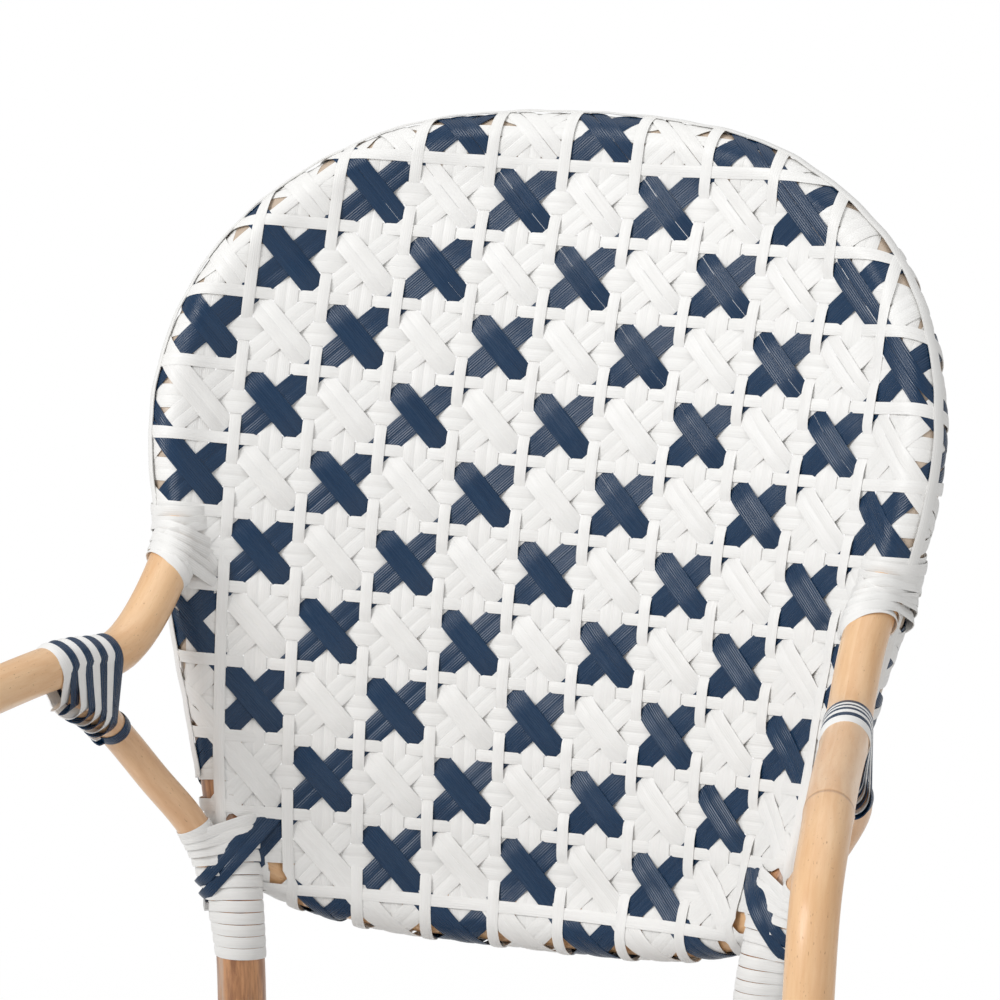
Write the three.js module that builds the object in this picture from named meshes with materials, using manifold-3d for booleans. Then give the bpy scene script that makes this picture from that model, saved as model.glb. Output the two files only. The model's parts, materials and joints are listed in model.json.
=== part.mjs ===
// A rattan bistro armchair: bent poles, a woven back and seat, and joints bound with flat strip.
// Millimetres, +Z up. The sitter faces -Y, and the sitter's left is +X.
import * as THREE from 'three';
import { mergeVertices } from 'three/addons/utils/BufferGeometryUtils.js';
import Module from 'manifold-3d';

const wasm = await Module();
wasm.setup();

// Poles
const backPoleRadius = 12;
const armPoleRadius = 10.75;
const railRadius = 11;
const seatRingRadius = 11;
const braceRadius = 8;
const crossBarRadius = 8;
const archRadius = 8;

// Woven back, measured from the middle of its weave, along its lean and its curve
const backLeanDegrees = 14.1;
const backHalfWidth = 195;
const backHalfHeight = 209.5;
const backOutlineDrop = 12.2;
const backBendRadiusTop = 570;
const backBendRadiusMiddle = 409;
const backBendRadiusBottom = 252;
const backBendReach = 198;
const backBow = 8;
const hoopBehindWeave = 9.4;
const railMiddleShare = 0.85;

// Legs, arms and braces, measured from the middle of the back
const rearLegInset = 64;
const rearLegForward = 86;
const armOutreach = 29;
const armReach = 345;
const armDrop = 47;
const armBendDrop = 58;
const armJointRise = 6;
const braceDropShare = 0.6635;
const braceLapReach = 172;
const braceTopReach = 140;
const braceEntryDepth = 12;
const braceTopSlack = 2;

// Seat, at the axis of its ring
const seatHeight = 450;
const seatToRailGap = 59.97;
const seatRearSetback = 80;
const seatFrontOverhang = 152;
const seatDish = 6;
const seatRingGap = 0.4;

// Arches under the seat
const archLapBottom = 185;
const archLapTop = 245;
const frontBarInset = 7;
const rearBarSetback = 185;
const crownToBarGap = 20;

// Flat strip, weave and bindings
const weaveWrap = 2.4;
const weaveThickness = 3;
const stripWidth = 5.4;
const pairStripWidth = 4.4;
const stripThickness = 1.2;
const edgeStripWidth = 5;
const edgeStripLift = 2;
const edgeStripSpread = 38;
const collarWall = 1.6;
const legCollarHeight = 36;
const legCollarBottom = 192;
const crownCollarLength = 26;

// Screws, nails and glides
const screwRadius = 1.8;
const screwHeadRadius = 3.4;
const screwHeadHeight = 2.6;
const screwSink = 1.2;
const screwBite = 9;
const glideRadius = 9.5;
const glideHeight = 4;
const glideNailRadius = 1.2;
const glideNailLength = 13;

// Fits
const fitGap = 0.3;
const windingGap = 1.2;
const collarGap = 0.95;
const housingDepth = 1.5;
const boreOverrun = 6;
const cutOverrun = 400;

// Facets
const poleSides = 10;
const thinPoleSides = 8;
const turnSteps = 13;
const collarSides = 12;
const screwSides = 6;

const colours = {
  honeyRattan: 0xdcaa78, paleRattan: 0xcca482, barkRattan: 0x966438,
  white: 0xf0efec, navy: 0x19325f, steel: 0x9a9a98, glide: 0x3a3531,
};

const downward = new THREE.Vector3(0, 0, -1);
const upward = new THREE.Vector3(0, 0, 1);
const forward = new THREE.Vector3(0, -1, 0);
const backward = new THREE.Vector3(0, 1, 0);
const sides = [['left', 1], ['right', -1]];

const mirrored = (point, side) => new THREE.Vector3(point.x * side, point.y, point.z);
const lerp = THREE.MathUtils.lerp;

// Solids and meshes
function solidOf(geometry) {
  const bare = geometry.clone();
  bare.deleteAttribute('normal');
  bare.deleteAttribute('uv');
  const merged = mergeVertices(bare);
  const triangles = new Uint32Array(merged.index.array);
  const solid = new wasm.Manifold(new wasm.Mesh({
    numProp: 3, vertProperties: new Float32Array(merged.attributes.position.array), triVerts: triangles,
  }));
  if (solid.volume() > 0) return solid;
  triangles.reverse();
  return new wasm.Manifold(new wasm.Mesh({
    numProp: 3, vertProperties: new Float32Array(merged.attributes.position.array), triVerts: triangles,
  }));
}

function geometryOf(solid) {
  const mesh = solid.getMesh();
  const geometry = new THREE.BufferGeometry();
  geometry.setAttribute('position', new THREE.BufferAttribute(mesh.vertProperties, 3));
  geometry.setIndex(new THREE.BufferAttribute(mesh.triVerts, 1));
  geometry.computeVertexNormals();
  return geometry;
}

const cut = (solid, ...tools) => tools.flat().reduce((rest, tool) => rest.subtract(tool), solid);

const chair = new THREE.Group();

function addPart(name, solid, colour, roughness = 0.5, metalness = 0) {
  const material = new THREE.MeshStandardMaterial({ color: colour, roughness, metalness });
  const mesh = new THREE.Mesh(geometryOf(solid), material);
  mesh.name = name;
  chair.add(mesh);
}

// Part of a longer curve, stepped by its control points, so that its bends get more steps than its straights
class Stretch extends THREE.Curve {
  constructor(whole, from, to) {
    super();
    Object.assign(this, { whole, from, to });
  }

  getPointAt(share, target = new THREE.Vector3()) {
    return this.whole.getPoint(lerp(this.from, this.to, share), target);
  }

  getTangentAt(share, target = new THREE.Vector3()) {
    return this.whole.getTangent(lerp(this.from, this.to, share), target);
  }
}

const spanCount = (curve) => curve.points.length - 1;

// Round pole along a curve
function poleSolid(curve, radius, steps, facets = poleSides) {
  const paced = curve.points ? new Stretch(curve, 0, 1) : curve;
  const circle = new THREE.Shape();
  for (let i = 0; i < facets; i++) {
    const angle = (i / facets) * 2 * Math.PI;
    const x = radius * Math.cos(angle);
    const y = radius * Math.sin(angle);
    if (i === 0) circle.moveTo(x, y);
    else circle.lineTo(x, y);
  }
  return solidOf(new THREE.ExtrudeGeometry(circle, { steps, extrudePath: paced, curveSegments: 1 }));
}

// Axis of a pole as it is built: straight between its steps
function steppedAxis(curve, steps) {
  const points = curve.getPoints(steps);
  const path = new THREE.CurvePath();
  for (let i = 0; i < steps; i++) path.add(new THREE.LineCurve3(points[i], points[i + 1]));
  return path;
}

const smooth = (points) => new THREE.CatmullRomCurve3(points, false, 'centripetal');

// Arc-length share at which a coordinate that falls steadily along a curve reaches a value
function shareWhere(curve, measure, value, from, to) {
  let [low, high] = [from, to];
  for (let i = 0; i < 40; i++) {
    const middle = (low + high) / 2;
    if (measure(curve.getPointAt(middle)) > value) low = middle;
    else high = middle;
  }
  return (low + high) / 2;
}

// Place on the back from its middle: along its curved width, up its lean, and behind its weave
function backOffset(across, up, behind) {
  const reachShare = up / backBendReach;
  const bendTop = 1 / backBendRadiusTop;
  const bendMiddle = 1 / backBendRadiusMiddle;
  const bendBottom = 1 / backBendRadiusBottom;
  const slope = (bendTop - bendBottom) / 2;
  const swell = (bendTop + bendBottom) / 2 - bendMiddle;
  const bend = bendMiddle + slope * reachShare + swell * reachShare * reachShare;
  const x = Math.sin(across * bend) / bend;
  const y = (Math.cos(across * bend) - 1) / bend + backBow * reachShare * reachShare + behind;
  const lean = THREE.MathUtils.degToRad(backLeanDegrees);
  return new THREE.Vector3(
    x,
    y * Math.cos(lean) + up * Math.sin(lean),
    up * Math.cos(lean) - y * Math.sin(lean),
  );
}

// The back stands above the seat by a clear gap under its rail
const railOffset = backOffset(0, -railMiddleShare * backHalfHeight - backOutlineDrop, hoopBehindWeave);
const backMiddleHeight = seatHeight + seatToRailGap + railRadius + weaveWrap - railOffset.z;
const backPoint = (across, up, behind) => {
  const point = backOffset(across, up, behind);
  point.z += backMiddleHeight;
  return point;
};

// Half outline of the back from its top down, as shares of its half width and half height
const hoopOutlineShares = [
  [0, 1], [0.25, 0.988], [0.5, 0.935], [0.79, 0.758], [0.93, 0.57], [0.997, 0.308], [0.95, -0.01],
  [0.87, -0.32], [0.82, -0.5],
];
const cornerOutlineShares = [[0.74, -0.67]];
const railOutlineShares = [[0.6, -0.8], [0.42, -0.836], [0.21, -0.848], [0, -railMiddleShare]];

const outlinePlace = ([acrossShare, upShare]) => [
  acrossShare * backHalfWidth, upShare * backHalfHeight - backOutlineDrop,
];
const outlinePoint = (shares) => backPoint(...outlinePlace(shares), hoopBehindWeave);

// Half of the bent back pole below the weave, as shares of its half width and its setback. Its upper
// places hang below the back's middle, and the lower ones stand at shares of the seat's height.
const rearPostShares = [[1.046, 0.9, 0.7885], [1.008, 0.98, 0.9923]];
const rearLegShares = [[1, 1, 0.9715], [1.008, 0.95, 0.7484], [1.06, 0.73, 0.4272], [1.16, 0.26, 0]];
const rearLegHalfWidth = backHalfWidth - rearLegInset;
const rearLegPoint = (widthShare, forwardShare, height) => new THREE.Vector3(
  widthShare * rearLegHalfWidth, -forwardShare * rearLegForward, height,
);
const leftHalfRoute = [
  ...hoopOutlineShares.map(outlinePoint),
  ...rearPostShares.map(([width, forwardShare, drop]) => (
    rearLegPoint(width, forwardShare, backMiddleHeight - drop * backHalfHeight)
  )),
  ...rearLegShares.map(([width, forwardShare, rise]) => (
    rearLegPoint(width, forwardShare, rise * seatHeight)
  )),
];
const backPoleRoute = smooth([
  ...leftHalfRoute.slice(1).reverse().map((point) => mirrored(point, -1)), ...leftHalfRoute,
]);
const backPoleSteps = 2 * spanCount(backPoleRoute);
const backPoleAxis = steppedAxis(backPoleRoute, backPoleSteps);

// Arc-length share and point of the back pole's left half at a height
const backPoleShareAt = (height) => shareWhere(backPoleAxis, (point) => point.z, height, 0.5, 1);
const backPoleAt = (height) => backPoleAxis.getPointAt(backPoleShareAt(height));

// Arm and front leg, as shares of the arm's half width and reach, and of its drop, its bend and the
// seat's height
const armHalfWidth = backHalfWidth + armOutreach;
const armLevelShares = [
  [0.801, 0.186, 0.3], [0.833, 0.325, 0.87], [0.871, 0.475, 0.915], [0.92, 0.667, 0.98], [0.969, 0.832, 1],
];
const armBendShares = [[0.993, 0.951, 0.29], [1.002, 1, 1], [1.002, 1.007, 1.338]];
const frontLegShares = [[0.987, 1.03, 0.9715], [0.98, 1.06, 0.6329], [0.991, 1.125, 0]];
const armPlace = (widthShare, reachShare, height) => new THREE.Vector3(
  widthShare * armHalfWidth, -reachShare * armReach, height,
);
const armRoute = smooth([
  backPoleAt(backMiddleHeight + armJointRise),
  ...armLevelShares.map(([width, reach, drop]) => (
    armPlace(width, reach, backMiddleHeight - drop * armDrop)
  )),
  ...armBendShares.map(([width, reach, drop]) => armPlace(
    width, reach, backMiddleHeight - armDrop - drop * armBendDrop,
  )),
  ...frontLegShares.map(([width, reach, rise]) => armPlace(width, reach, rise * seatHeight)),
]);
const armSteps = 2 * spanCount(armRoute);
const armAxis = steppedAxis(armRoute, armSteps);
const armBendStartShare = 0.41;
const armShareAtReach = (reach) => shareWhere(armAxis, (point) => point.y, -reach, 0, armBendStartShare);
const frontLegShareAt = (height) => shareWhere(armAxis, (point) => point.z, height, armBendStartShare, 1);
const frontLegAt = (height) => armAxis.getPointAt(frontLegShareAt(height));

// Brace from under the arm to the outer side of the back pole, where both its ends are cut to lap
const braceMiddleShares = [[0.821, 0.316, 0.64], [0.768, 0.283, 0.8], [0.685, 0.257, 1]];
const braceLapHeightShares = [[1.26, 0.85], [1.475, 0.42]];
const braceLapDirection = new THREE.Vector3(0.85, -0.53, 0).normalize();
const braceDrop = braceDropShare * backHalfHeight;
const braceTop = armAxis.getPointAt(armShareAtReach(braceTopReach));
braceTop.z -= armPoleRadius + braceRadius + braceTopSlack;
const braceLap = armAxis.getPointAt(armShareAtReach(braceLapReach));
braceLap.z -= braceEntryDepth;
const braceRoute = smooth([
  braceLap,
  braceTop,
  ...braceMiddleShares.map(([width, reach, drop]) => (
    armPlace(width, reach, backMiddleHeight - drop * braceDrop)
  )),
  ...braceLapHeightShares.map(([drop, offset]) => backPoleAt(backMiddleHeight - drop * braceDrop)
    .addScaledVector(braceLapDirection, offset * backPoleRadius)),
]);
const braceSteps = 2 * spanCount(braceRoute);
const braceAxis = steppedAxis(braceRoute, braceSteps);

// Bottom rail of the back, from pole to pole
const railEndDropShare = 0.717;
const railEnd = backPoleAt(backMiddleHeight - railEndDropShare * backHalfHeight);
const leftHalfRail = [railEnd, ...railOutlineShares.map(outlinePoint)];
const railRoute = smooth([
  ...leftHalfRail, ...leftHalfRail.slice(0, -1).reverse().map((point) => mirrored(point, -1)),
]);
const railSteps = 2 * spanCount(railRoute);

// Seat ring, seated against the legs in shallow housings
const seatRingHeight = seatHeight - seatRingRadius - weaveWrap;
const rearContactDirection = new THREE.Vector3(-0.62, -0.78, 0).normalize();
const frontContactDirection = new THREE.Vector3(-1, 0, 0);
const rearContact = backPoleAt(seatRingHeight)
  .addScaledVector(rearContactDirection, backPoleRadius + seatRingRadius - housingDepth);
const frontContact = frontLegAt(seatRingHeight)
  .addScaledVector(frontContactDirection, armPoleRadius + seatRingRadius - housingDepth);
const seatFrontSetback = armReach + seatFrontOverhang;
const seatRearBowShare = 0.14;
const seatSideShares = [[0.36, 0.27], [0.08, 0.63]];
const seatFrontShares = [[0.89, 0.49], [0.6, 0.84]];
const seatPoint = (x, setback) => new THREE.Vector3(x, -setback, seatRingHeight);
const leftHalfSeat = [
  seatPoint(0, seatRearSetback),
  seatPoint(rearContact.x / 2, lerp(seatRearSetback, -rearContact.y, seatRearBowShare)),
  rearContact,
  ...seatSideShares.map(([inShare, along]) => seatPoint(
    lerp(frontContact.x, rearContact.x, inShare), lerp(-rearContact.y, -frontContact.y, along),
  )),
  frontContact,
  ...seatFrontShares.map(([widthShare, along]) => seatPoint(
    widthShare * frontContact.x, lerp(-frontContact.y, seatFrontSetback, along),
  )),
  seatPoint(0, seatFrontSetback),
];
const seatLoop = new THREE.CatmullRomCurve3([
  ...leftHalfSeat, ...leftHalfSeat.slice(1, -1).reverse().map((point) => mirrored(point, -1)),
], true, 'centripetal');
const seatLoopSteps = 2 * seatLoop.points.length;
const seatHalfWidthAt = (setback) => seatLoop.getPointAt(
  shareWhere(seatLoop, (point) => point.y, -setback, 0, 0.5),
).x;

// Closed tube round the seat's outline
function seatLoopSolid(radius) {
  const rings = [];
  for (let i = 0; i < seatLoopSteps; i++) {
    const centre = seatLoop.getPoint(i / seatLoopSteps);
    const tangent = seatLoop.getTangent(i / seatLoopSteps);
    const outward = tangent.clone().cross(upward).normalize();
    rings.push(Array.from({ length: thinPoleSides }, (_, k) => {
      const angle = (k / thinPoleSides) * 2 * Math.PI;
      return centre.clone().addScaledVector(outward, radius * Math.cos(angle))
        .addScaledVector(upward, radius * Math.sin(angle));
    }));
  }
  return bodyOfRings(rings, true);
}

// The slit where the ends of the bent seat pole meet
function seatSlitSolid() {
  const block = new THREE.BoxGeometry(seatRingGap, 4 * seatRingRadius, 4 * seatRingRadius);
  block.translate(0, -seatRearSetback, seatRingHeight);
  return solidOf(block);
}

// Straight bars across the seat ring, under the weave
const frontBarSetback = armReach - frontBarInset;
const barHeight = seatRingHeight - crossBarRadius;
const crossBarRoute = (setback) => new THREE.LineCurve3(
  new THREE.Vector3(seatHalfWidthAt(setback), -setback, barHeight),
  new THREE.Vector3(-seatHalfWidthAt(setback), -setback, barHeight),
);
const crossBars = [['front', frontBarSetback], ['rear', rearBarSetback]];

// Arches under the seat. Each end laps down the inner side of a leg, and the crown meets the seat.
const legAt = { front: frontLegAt, rear: backPoleAt };
const legRadii = { front: armPoleRadius, rear: backPoleRadius };
function lapPoint(end, side, direction, height) {
  const axis = mirrored(legAt[end](height), side);
  return axis.addScaledVector(direction, legRadii[end] + archRadius - housingDepth / 2);
}

const quarterSteps = 6;
function archRoute(first, second, crown) {
  const half = (end) => {
    const foot = lapPoint(end.leg, end.side, end.direction, archLapBottom);
    const top = lapPoint(end.leg, end.side, end.direction, archLapTop);
    const points = [foot];
    for (let i = 0; i < quarterSteps; i++) {
      const angle = (i / quarterSteps) * (Math.PI / 2);
      const point = crown.clone().lerp(top, Math.cos(angle));
      point.z = lerp(top.z, crown.z, Math.sin(angle));
      points.push(point);
    }
    return points;
  };
  return smooth([...half(first), crown, ...half(second).reverse()]);
}

const inward = (side) => new THREE.Vector3(-side, 0, 0);
const sleeveRadius = seatRingRadius + weaveWrap;
const crownUnderRing = seatRingHeight - sleeveRadius - archRadius + housingDepth / 2;
const crownUnderBar = barHeight - crossBarRadius - archRadius + housingDepth / 2;
const sideCrownSetback = rearBarSetback + crossBarRadius + crownToBarGap + crownCollarLength / 2;
const arches = [
  {
    name: 'front',
    route: archRoute(
      { leg: 'front', side: 1, direction: inward(1) }, { leg: 'front', side: -1, direction: inward(-1) },
      new THREE.Vector3(0, -frontBarSetback, crownUnderBar),
    ),
  },
  {
    name: 'rear',
    route: archRoute(
      { leg: 'rear', side: 1, direction: inward(1) }, { leg: 'rear', side: -1, direction: inward(-1) },
      new THREE.Vector3(0, -seatRearSetback, crownUnderRing),
    ),
  },
  ...sides.map(([name, side]) => ({
    name,
    route: archRoute(
      { leg: 'rear', side, direction: forward }, { leg: 'front', side, direction: backward },
      new THREE.Vector3(side * seatHalfWidthAt(sideCrownSetback), -sideCrownSetback, crownUnderRing),
    ),
  })),
];
for (const arch of arches) arch.axis = steppedAxis(arch.route, spanCount(arch.route));

// Support point of a group of poles: where a strip pulled round them lies in one direction
function hullPoint(station, angle, offset) {
  const { poles, along, reference } = station;
  const first = reference.clone().addScaledVector(along, -reference.dot(along)).normalize();
  const second = along.clone().cross(first);
  const outward = first.multiplyScalar(Math.cos(angle)).addScaledVector(second, Math.sin(angle));
  let best = null;
  for (const { centre, axis, radius } of poles) {
    const tilt = axis.clone().addScaledVector(along, -axis.dot(along));
    const spread = 1 - tilt.lengthSq();
    const lean = tilt.dot(outward);
    const reach = outward.clone().addScaledVector(tilt, lean / spread)
      .multiplyScalar((radius + offset) / Math.sqrt(1 + (lean * lean) / spread));
    const point = centre.clone().add(reach);
    const height = point.dot(outward);
    if (!best || height > best.height) best = { point, height, axis };
  }
  const lying = best.axis.clone().addScaledVector(outward, -best.axis.dot(outward)).normalize();
  return { point: best.point, outward, lying };
}

// A pole where a binding crosses it
const poleStation = (curve, share, radius) => ({
  centre: curve.getPointAt(share), axis: curve.getTangentAt(share), radius, curve,
});

// Nearest axis point of a stepped pole to a place
function nearestOnAxis(path, place) {
  let best = null;
  for (const { v1, v2 } of path.curves) {
    const point = new THREE.Line3(v1, v2).closestPointToPoint(place, true, new THREE.Vector3());
    if (!best || point.distanceToSquared(place) < best.distanceToSquared(place)) best = point;
  }
  return best;
}

// Moves a place out of the way of bent poles, which leave the plane that a turn lies in
function clearOfPoles(place, poles, offset) {
  for (const { curve, radius } of poles) {
    const away = place.clone().sub(nearestOnAxis(curve, place));
    const missing = radius + offset - away.length();
    if (missing > 0) place.addScaledVector(away.normalize(), missing);
  }
  return place;
}

// A closed body from rings of points, capped at its ends
function bodyOfRings(rings, closed = false) {
  const count = rings[0].length;
  const positions = rings.flat().flatMap((point) => point.toArray());
  const triangles = [];
  const last = closed ? rings.length : rings.length - 1;
  for (let r = 0; r < last; r++) {
    const here = r * count;
    const next = ((r + 1) % rings.length) * count;
    for (let i = 0; i < count; i++) {
      const j = (i + 1) % count;
      triangles.push(here + i, here + j, next + j, here + i, next + j, next + i);
    }
  }
  if (!closed) {
    const end = (rings.length - 1) * count;
    for (let i = 1; i < count - 1; i++) {
      triangles.push(0, i + 1, i, end, end + i, end + i + 1);
    }
  }
  const geometry = new THREE.BufferGeometry();
  geometry.setAttribute('position', new THREE.Float32BufferAttribute(positions, 3));
  geometry.setIndex(triangles);
  return solidOf(geometry);
}

// Flat strip wound round poles in one unbroken run, with the least gap between its turns
function windStrip(name, side, turns, stationAt, width = stripWidth) {
  const steps = Math.round(turns * turnSteps);
  const rings = [];
  for (let i = 0; i <= steps; i++) {
    const share = i / steps;
    const station = stationAt(share);
    const angle = turns * share * 2 * Math.PI;
    const lift = windingGap + stripThickness / 2;
    const { point, outward, lying } = hullPoint(station, angle, lift);
    const [near, far] = [-width / 2, width / 2].map((offset) => (
      clearOfPoles(point.clone().addScaledVector(lying, offset), station.poles, lift)
    ));
    const rise = outward.multiplyScalar(stripThickness / 2);
    const upper = [far, near].map((edge) => edge.clone().add(rise));
    const lower = [near, far].map((edge) => edge.clone().sub(rise));
    rings.push([...upper, ...lower]);
  }
  let least = Infinity;
  for (let i = 0; i <= steps; i++) {
    for (let j = i + Math.round(turnSteps / 2); j <= steps; j++) {
      for (const a of rings[i]) for (const b of rings[j]) least = Math.min(least, a.distanceTo(b));
    }
  }
  console.log(`${name}: ${turns} turns, least gap to itself ${least.toFixed(2)} mm`);
  return bodyOfRings(rings.map((ring) => ring.map((point) => mirrored(point, side))));
}

// Binding of an arm and its brace: two strips wound side by side
const bracePairTurns = 4;
const pairLeadShare = 1 / (bracePairTurns + 0.5);
const pairBackReach = 112;
const pairFrontReach = 168;
const bracePairEndShare = 0.36;
const bracePairStartShare = 0.015;
function bracePairStation(offsetShare, share) {
  const place = offsetShare + share * bracePairTurns * pairLeadShare;
  const armShare = lerp(armShareAtReach(pairFrontReach), armShareAtReach(pairBackReach), place);
  const braceShare = lerp(bracePairStartShare, bracePairEndShare, place);
  const arm = poleStation(armAxis, armShare, armPoleRadius);
  const brace = poleStation(braceAxis, braceShare, braceRadius);
  arm.axis.negate();
  const reference = brace.centre.clone().sub(arm.centre).normalize();
  const mean = arm.axis.clone().add(brace.axis);
  const along = mean.addScaledVector(reference, -mean.dot(reference)).normalize();
  return { poles: [arm, brace], along, reference };
}

// Binding of the back pole and the lapped end of its brace
const poleBindingTurns = 6;
const poleBindingTopShare = 1.2575;
const poleBindingBottomShare = 1.5136;
function poleBindingStation(share) {
  const height = backMiddleHeight - lerp(poleBindingTopShare, poleBindingBottomShare, share) * braceDrop;
  const poles = [poleStation(backPoleAxis, backPoleShareAt(height), backPoleRadius)];
  if (height > braceAxis.getPointAt(1).z) {
    const braceShare = shareWhere(braceAxis, (point) => point.z, height, 0, 1);
    poles.push(poleStation(braceAxis, braceShare, braceRadius));
  }
  return { poles, along: downward, reference: braceLapDirection };
}

// Binding of the arm's end beside the hoop. Its turns lean from square to the hoop to square to the arm.
const armBindingTurns = 2;
const armBindingClearance = 1.41;
const armBindingRun = 17;
const armBindingLeanShare = 0.35;
const armBindingStartLimit = 0.1;
const hoopTangent = backPoleAxis.getTangentAt(backPoleShareAt(backMiddleHeight + armJointRise));
const hoopNearness = (point) => -point.distanceTo(nearestOnAxis(backPoleAxis, point));
const armBindingStart = shareWhere(
  armAxis, hoopNearness, -(backPoleRadius + weaveWrap + armBindingClearance), 0, armBindingStartLimit,
);
function armBindingStation(share) {
  const armShare = armBindingStart + (share * armBindingRun) / armAxis.getLength();
  const arm = poleStation(armAxis, armShare, armPoleRadius);
  const squareToHoop = arm.axis.clone()
    .addScaledVector(hoopTangent, -arm.axis.dot(hoopTangent)).normalize();
  return {
    poles: [arm],
    along: squareToHoop.lerp(arm.axis, armBindingLeanShare * share).normalize(),
    reference: upward,
  };
}

// Plain collar of strip round a group of poles, between two stations
function collarSolid(stationAt, extra = 0) {
  const ringAt = (share, offset) => {
    const station = stationAt(share);
    const shift = station.along.clone().multiplyScalar(share < 0.5 ? -extra : extra);
    return Array.from({ length: collarSides }, (_, i) => (
      hullPoint(station, (i / collarSides) * 2 * Math.PI, offset).point.add(shift)
    ));
  };
  const inner = collarGap - extra;
  const outer = collarGap + collarWall + extra;
  const outside = [0, 0.5, 1].map((share) => ringAt(share, outer));
  const inside = [1, 0.5, 0].map((share) => ringAt(share, inner));
  return bodyOfRings([...outside, ...inside], true);
}

// Screw or nail from one place towards another, and the bore that clears it
function spindleSolid(from, direction, length, headRadius, headHeight, shankRadius, extra = 0, overrun = 0) {
  const profile = [
    [0, -overrun], [headRadius + extra, -overrun], [headRadius + extra, headHeight + extra],
    [shankRadius + extra, headHeight + extra], [shankRadius + extra, length + extra], [0, length + extra],
  ].map(([x, y]) => new THREE.Vector2(x, y));
  const geometry = new THREE.LatheGeometry(profile, screwSides);
  const turn = new THREE.Quaternion().setFromUnitVectors(backward, direction.clone().normalize());
  geometry.applyQuaternion(turn);
  geometry.translate(from.x, from.y, from.z);
  return solidOf(geometry);
}

const braceHighScrewShare = 0.17;
const braceLowScrewShare = 0.86;
const fasteners = [];
function addScrew(name, from, direction, length) {
  fasteners.push({
    name,
    solid: spindleSolid(from, direction, length, screwHeadRadius, screwHeadHeight, screwRadius),
    bore: spindleSolid(
      from, direction, length, screwHeadRadius, screwHeadHeight, screwRadius, fitGap, boreOverrun,
    ),
  });
}

// A screw through the first pole, at an axis point, into whatever lies beyond it
function addPoleScrew(name, axisPoint, direction, radius) {
  const unit = direction.clone().normalize();
  const start = axisPoint.clone().addScaledVector(unit, -(radius - screwSink));
  addScrew(name, start, unit, 2 * radius - screwSink + screwBite);
}

function addSideScrews(name, side) {
  const armStart = mirrored(armAxis.getPointAt(0), side);
  const armDirection = mirrored(armAxis.getTangentAt(0), side);
  addPoleScrew(`arm_screw_${name}`, armStart, armDirection, backPoleRadius);

  const high = mirrored(braceAxis.getPointAt(braceHighScrewShare), side);
  addPoleScrew(`brace_upper_screw_${name}`, high, upward, braceRadius);
  const low = mirrored(braceAxis.getPointAt(braceLowScrewShare), side);
  addPoleScrew(`brace_lower_screw_${name}`, low, mirrored(braceLapDirection, side).negate(), braceRadius);

  const railDirection = mirrored(railRoute.getTangentAt(0), side);
  addPoleScrew(`rail_screw_${name}`, mirrored(railEnd, side), railDirection, backPoleRadius);

  const rearLeg = mirrored(backPoleAt(seatRingHeight), side);
  addPoleScrew(`seat_screw_rear_${name}`, rearLeg, mirrored(rearContactDirection, side), backPoleRadius);
  const frontLeg = mirrored(frontLegAt(seatRingHeight), side);
  addPoleScrew(`seat_screw_front_${name}`, frontLeg, mirrored(frontContactDirection, side), armPoleRadius);

  for (const [barName, setback] of crossBars) {
    const nailHeight = (barHeight + seatRingHeight) / 2;
    const end = new THREE.Vector3(side * seatHalfWidthAt(setback), -setback, nailHeight);
    addPoleScrew(`${barName}_bar_nail_${name}`, end, inward(side), seatRingRadius);
  }
}

function addFasteners() {
  for (const [name, side] of sides) addSideScrews(name, side);
  for (const { name, route } of arches) {
    addPoleScrew(`arch_screw_${name}`, route.getPointAt(0.5), upward, archRadius);
  }
}

// Woven sheet inside an outline, as a thin closed plate of rings
function plateSolid(pointAt, ringShares, segments) {
  const sheet = [];
  for (const side of [1, -1]) {
    const order = side > 0 ? ringShares : [...ringShares].reverse();
    for (const share of order) {
      sheet.push(Array.from({ length: segments }, (_, i) => pointAt(share, i / segments, side)));
    }
  }
  const positions = sheet.flat().flatMap((point) => point.toArray());
  const top = sheet.length * segments;
  positions.push(...pointAt(0, 0, 1).toArray(), ...pointAt(0, 0, -1).toArray());
  const triangles = [];
  for (let r = 0; r < sheet.length - 1; r++) {
    for (let i = 0; i < segments; i++) {
      const j = (i + 1) % segments;
      const here = r * segments;
      const next = here + segments;
      triangles.push(here + i, here + j, next + j, here + i, next + j, next + i);
    }
  }
  const end = (sheet.length - 1) * segments;
  for (let i = 0; i < segments; i++) {
    const j = (i + 1) % segments;
    triangles.push(top, j, i, top + 1, end + i, end + j);
  }
  const geometry = new THREE.BufferGeometry();
  geometry.setAttribute('position', new THREE.Float32BufferAttribute(positions, 3));
  geometry.setIndex(triangles);
  return solidOf(geometry);
}

const plateRingShares = [0.5, 1];
const weaveEndDropShare = 0.7834;
const railSleeveShare = 0.1;
const edgeStripEndDropShare = 0.5778;
const leftHalfOutline = [...hoopOutlineShares, ...cornerOutlineShares, ...railOutlineShares];
const outlineLoop = new THREE.CatmullRomCurve3([
  ...leftHalfOutline.map((shares) => new THREE.Vector3(...outlinePlace(shares), 0)),
  ...leftHalfOutline.slice(1, -1).reverse().map((shares) => {
    const [across, up] = outlinePlace(shares);
    return new THREE.Vector3(-across, up, 0);
  }),
], true, 'centripetal');
const backPlateSegments = 24;
const backPlatePoint = (share, around, side) => {
  const edge = outlineLoop.getPointAt(around);
  const across = edge.x * share;
  const up = lerp(-backOutlineDrop, edge.y, share);
  return backPoint(across, up, side * weaveThickness / 2);
};

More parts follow.
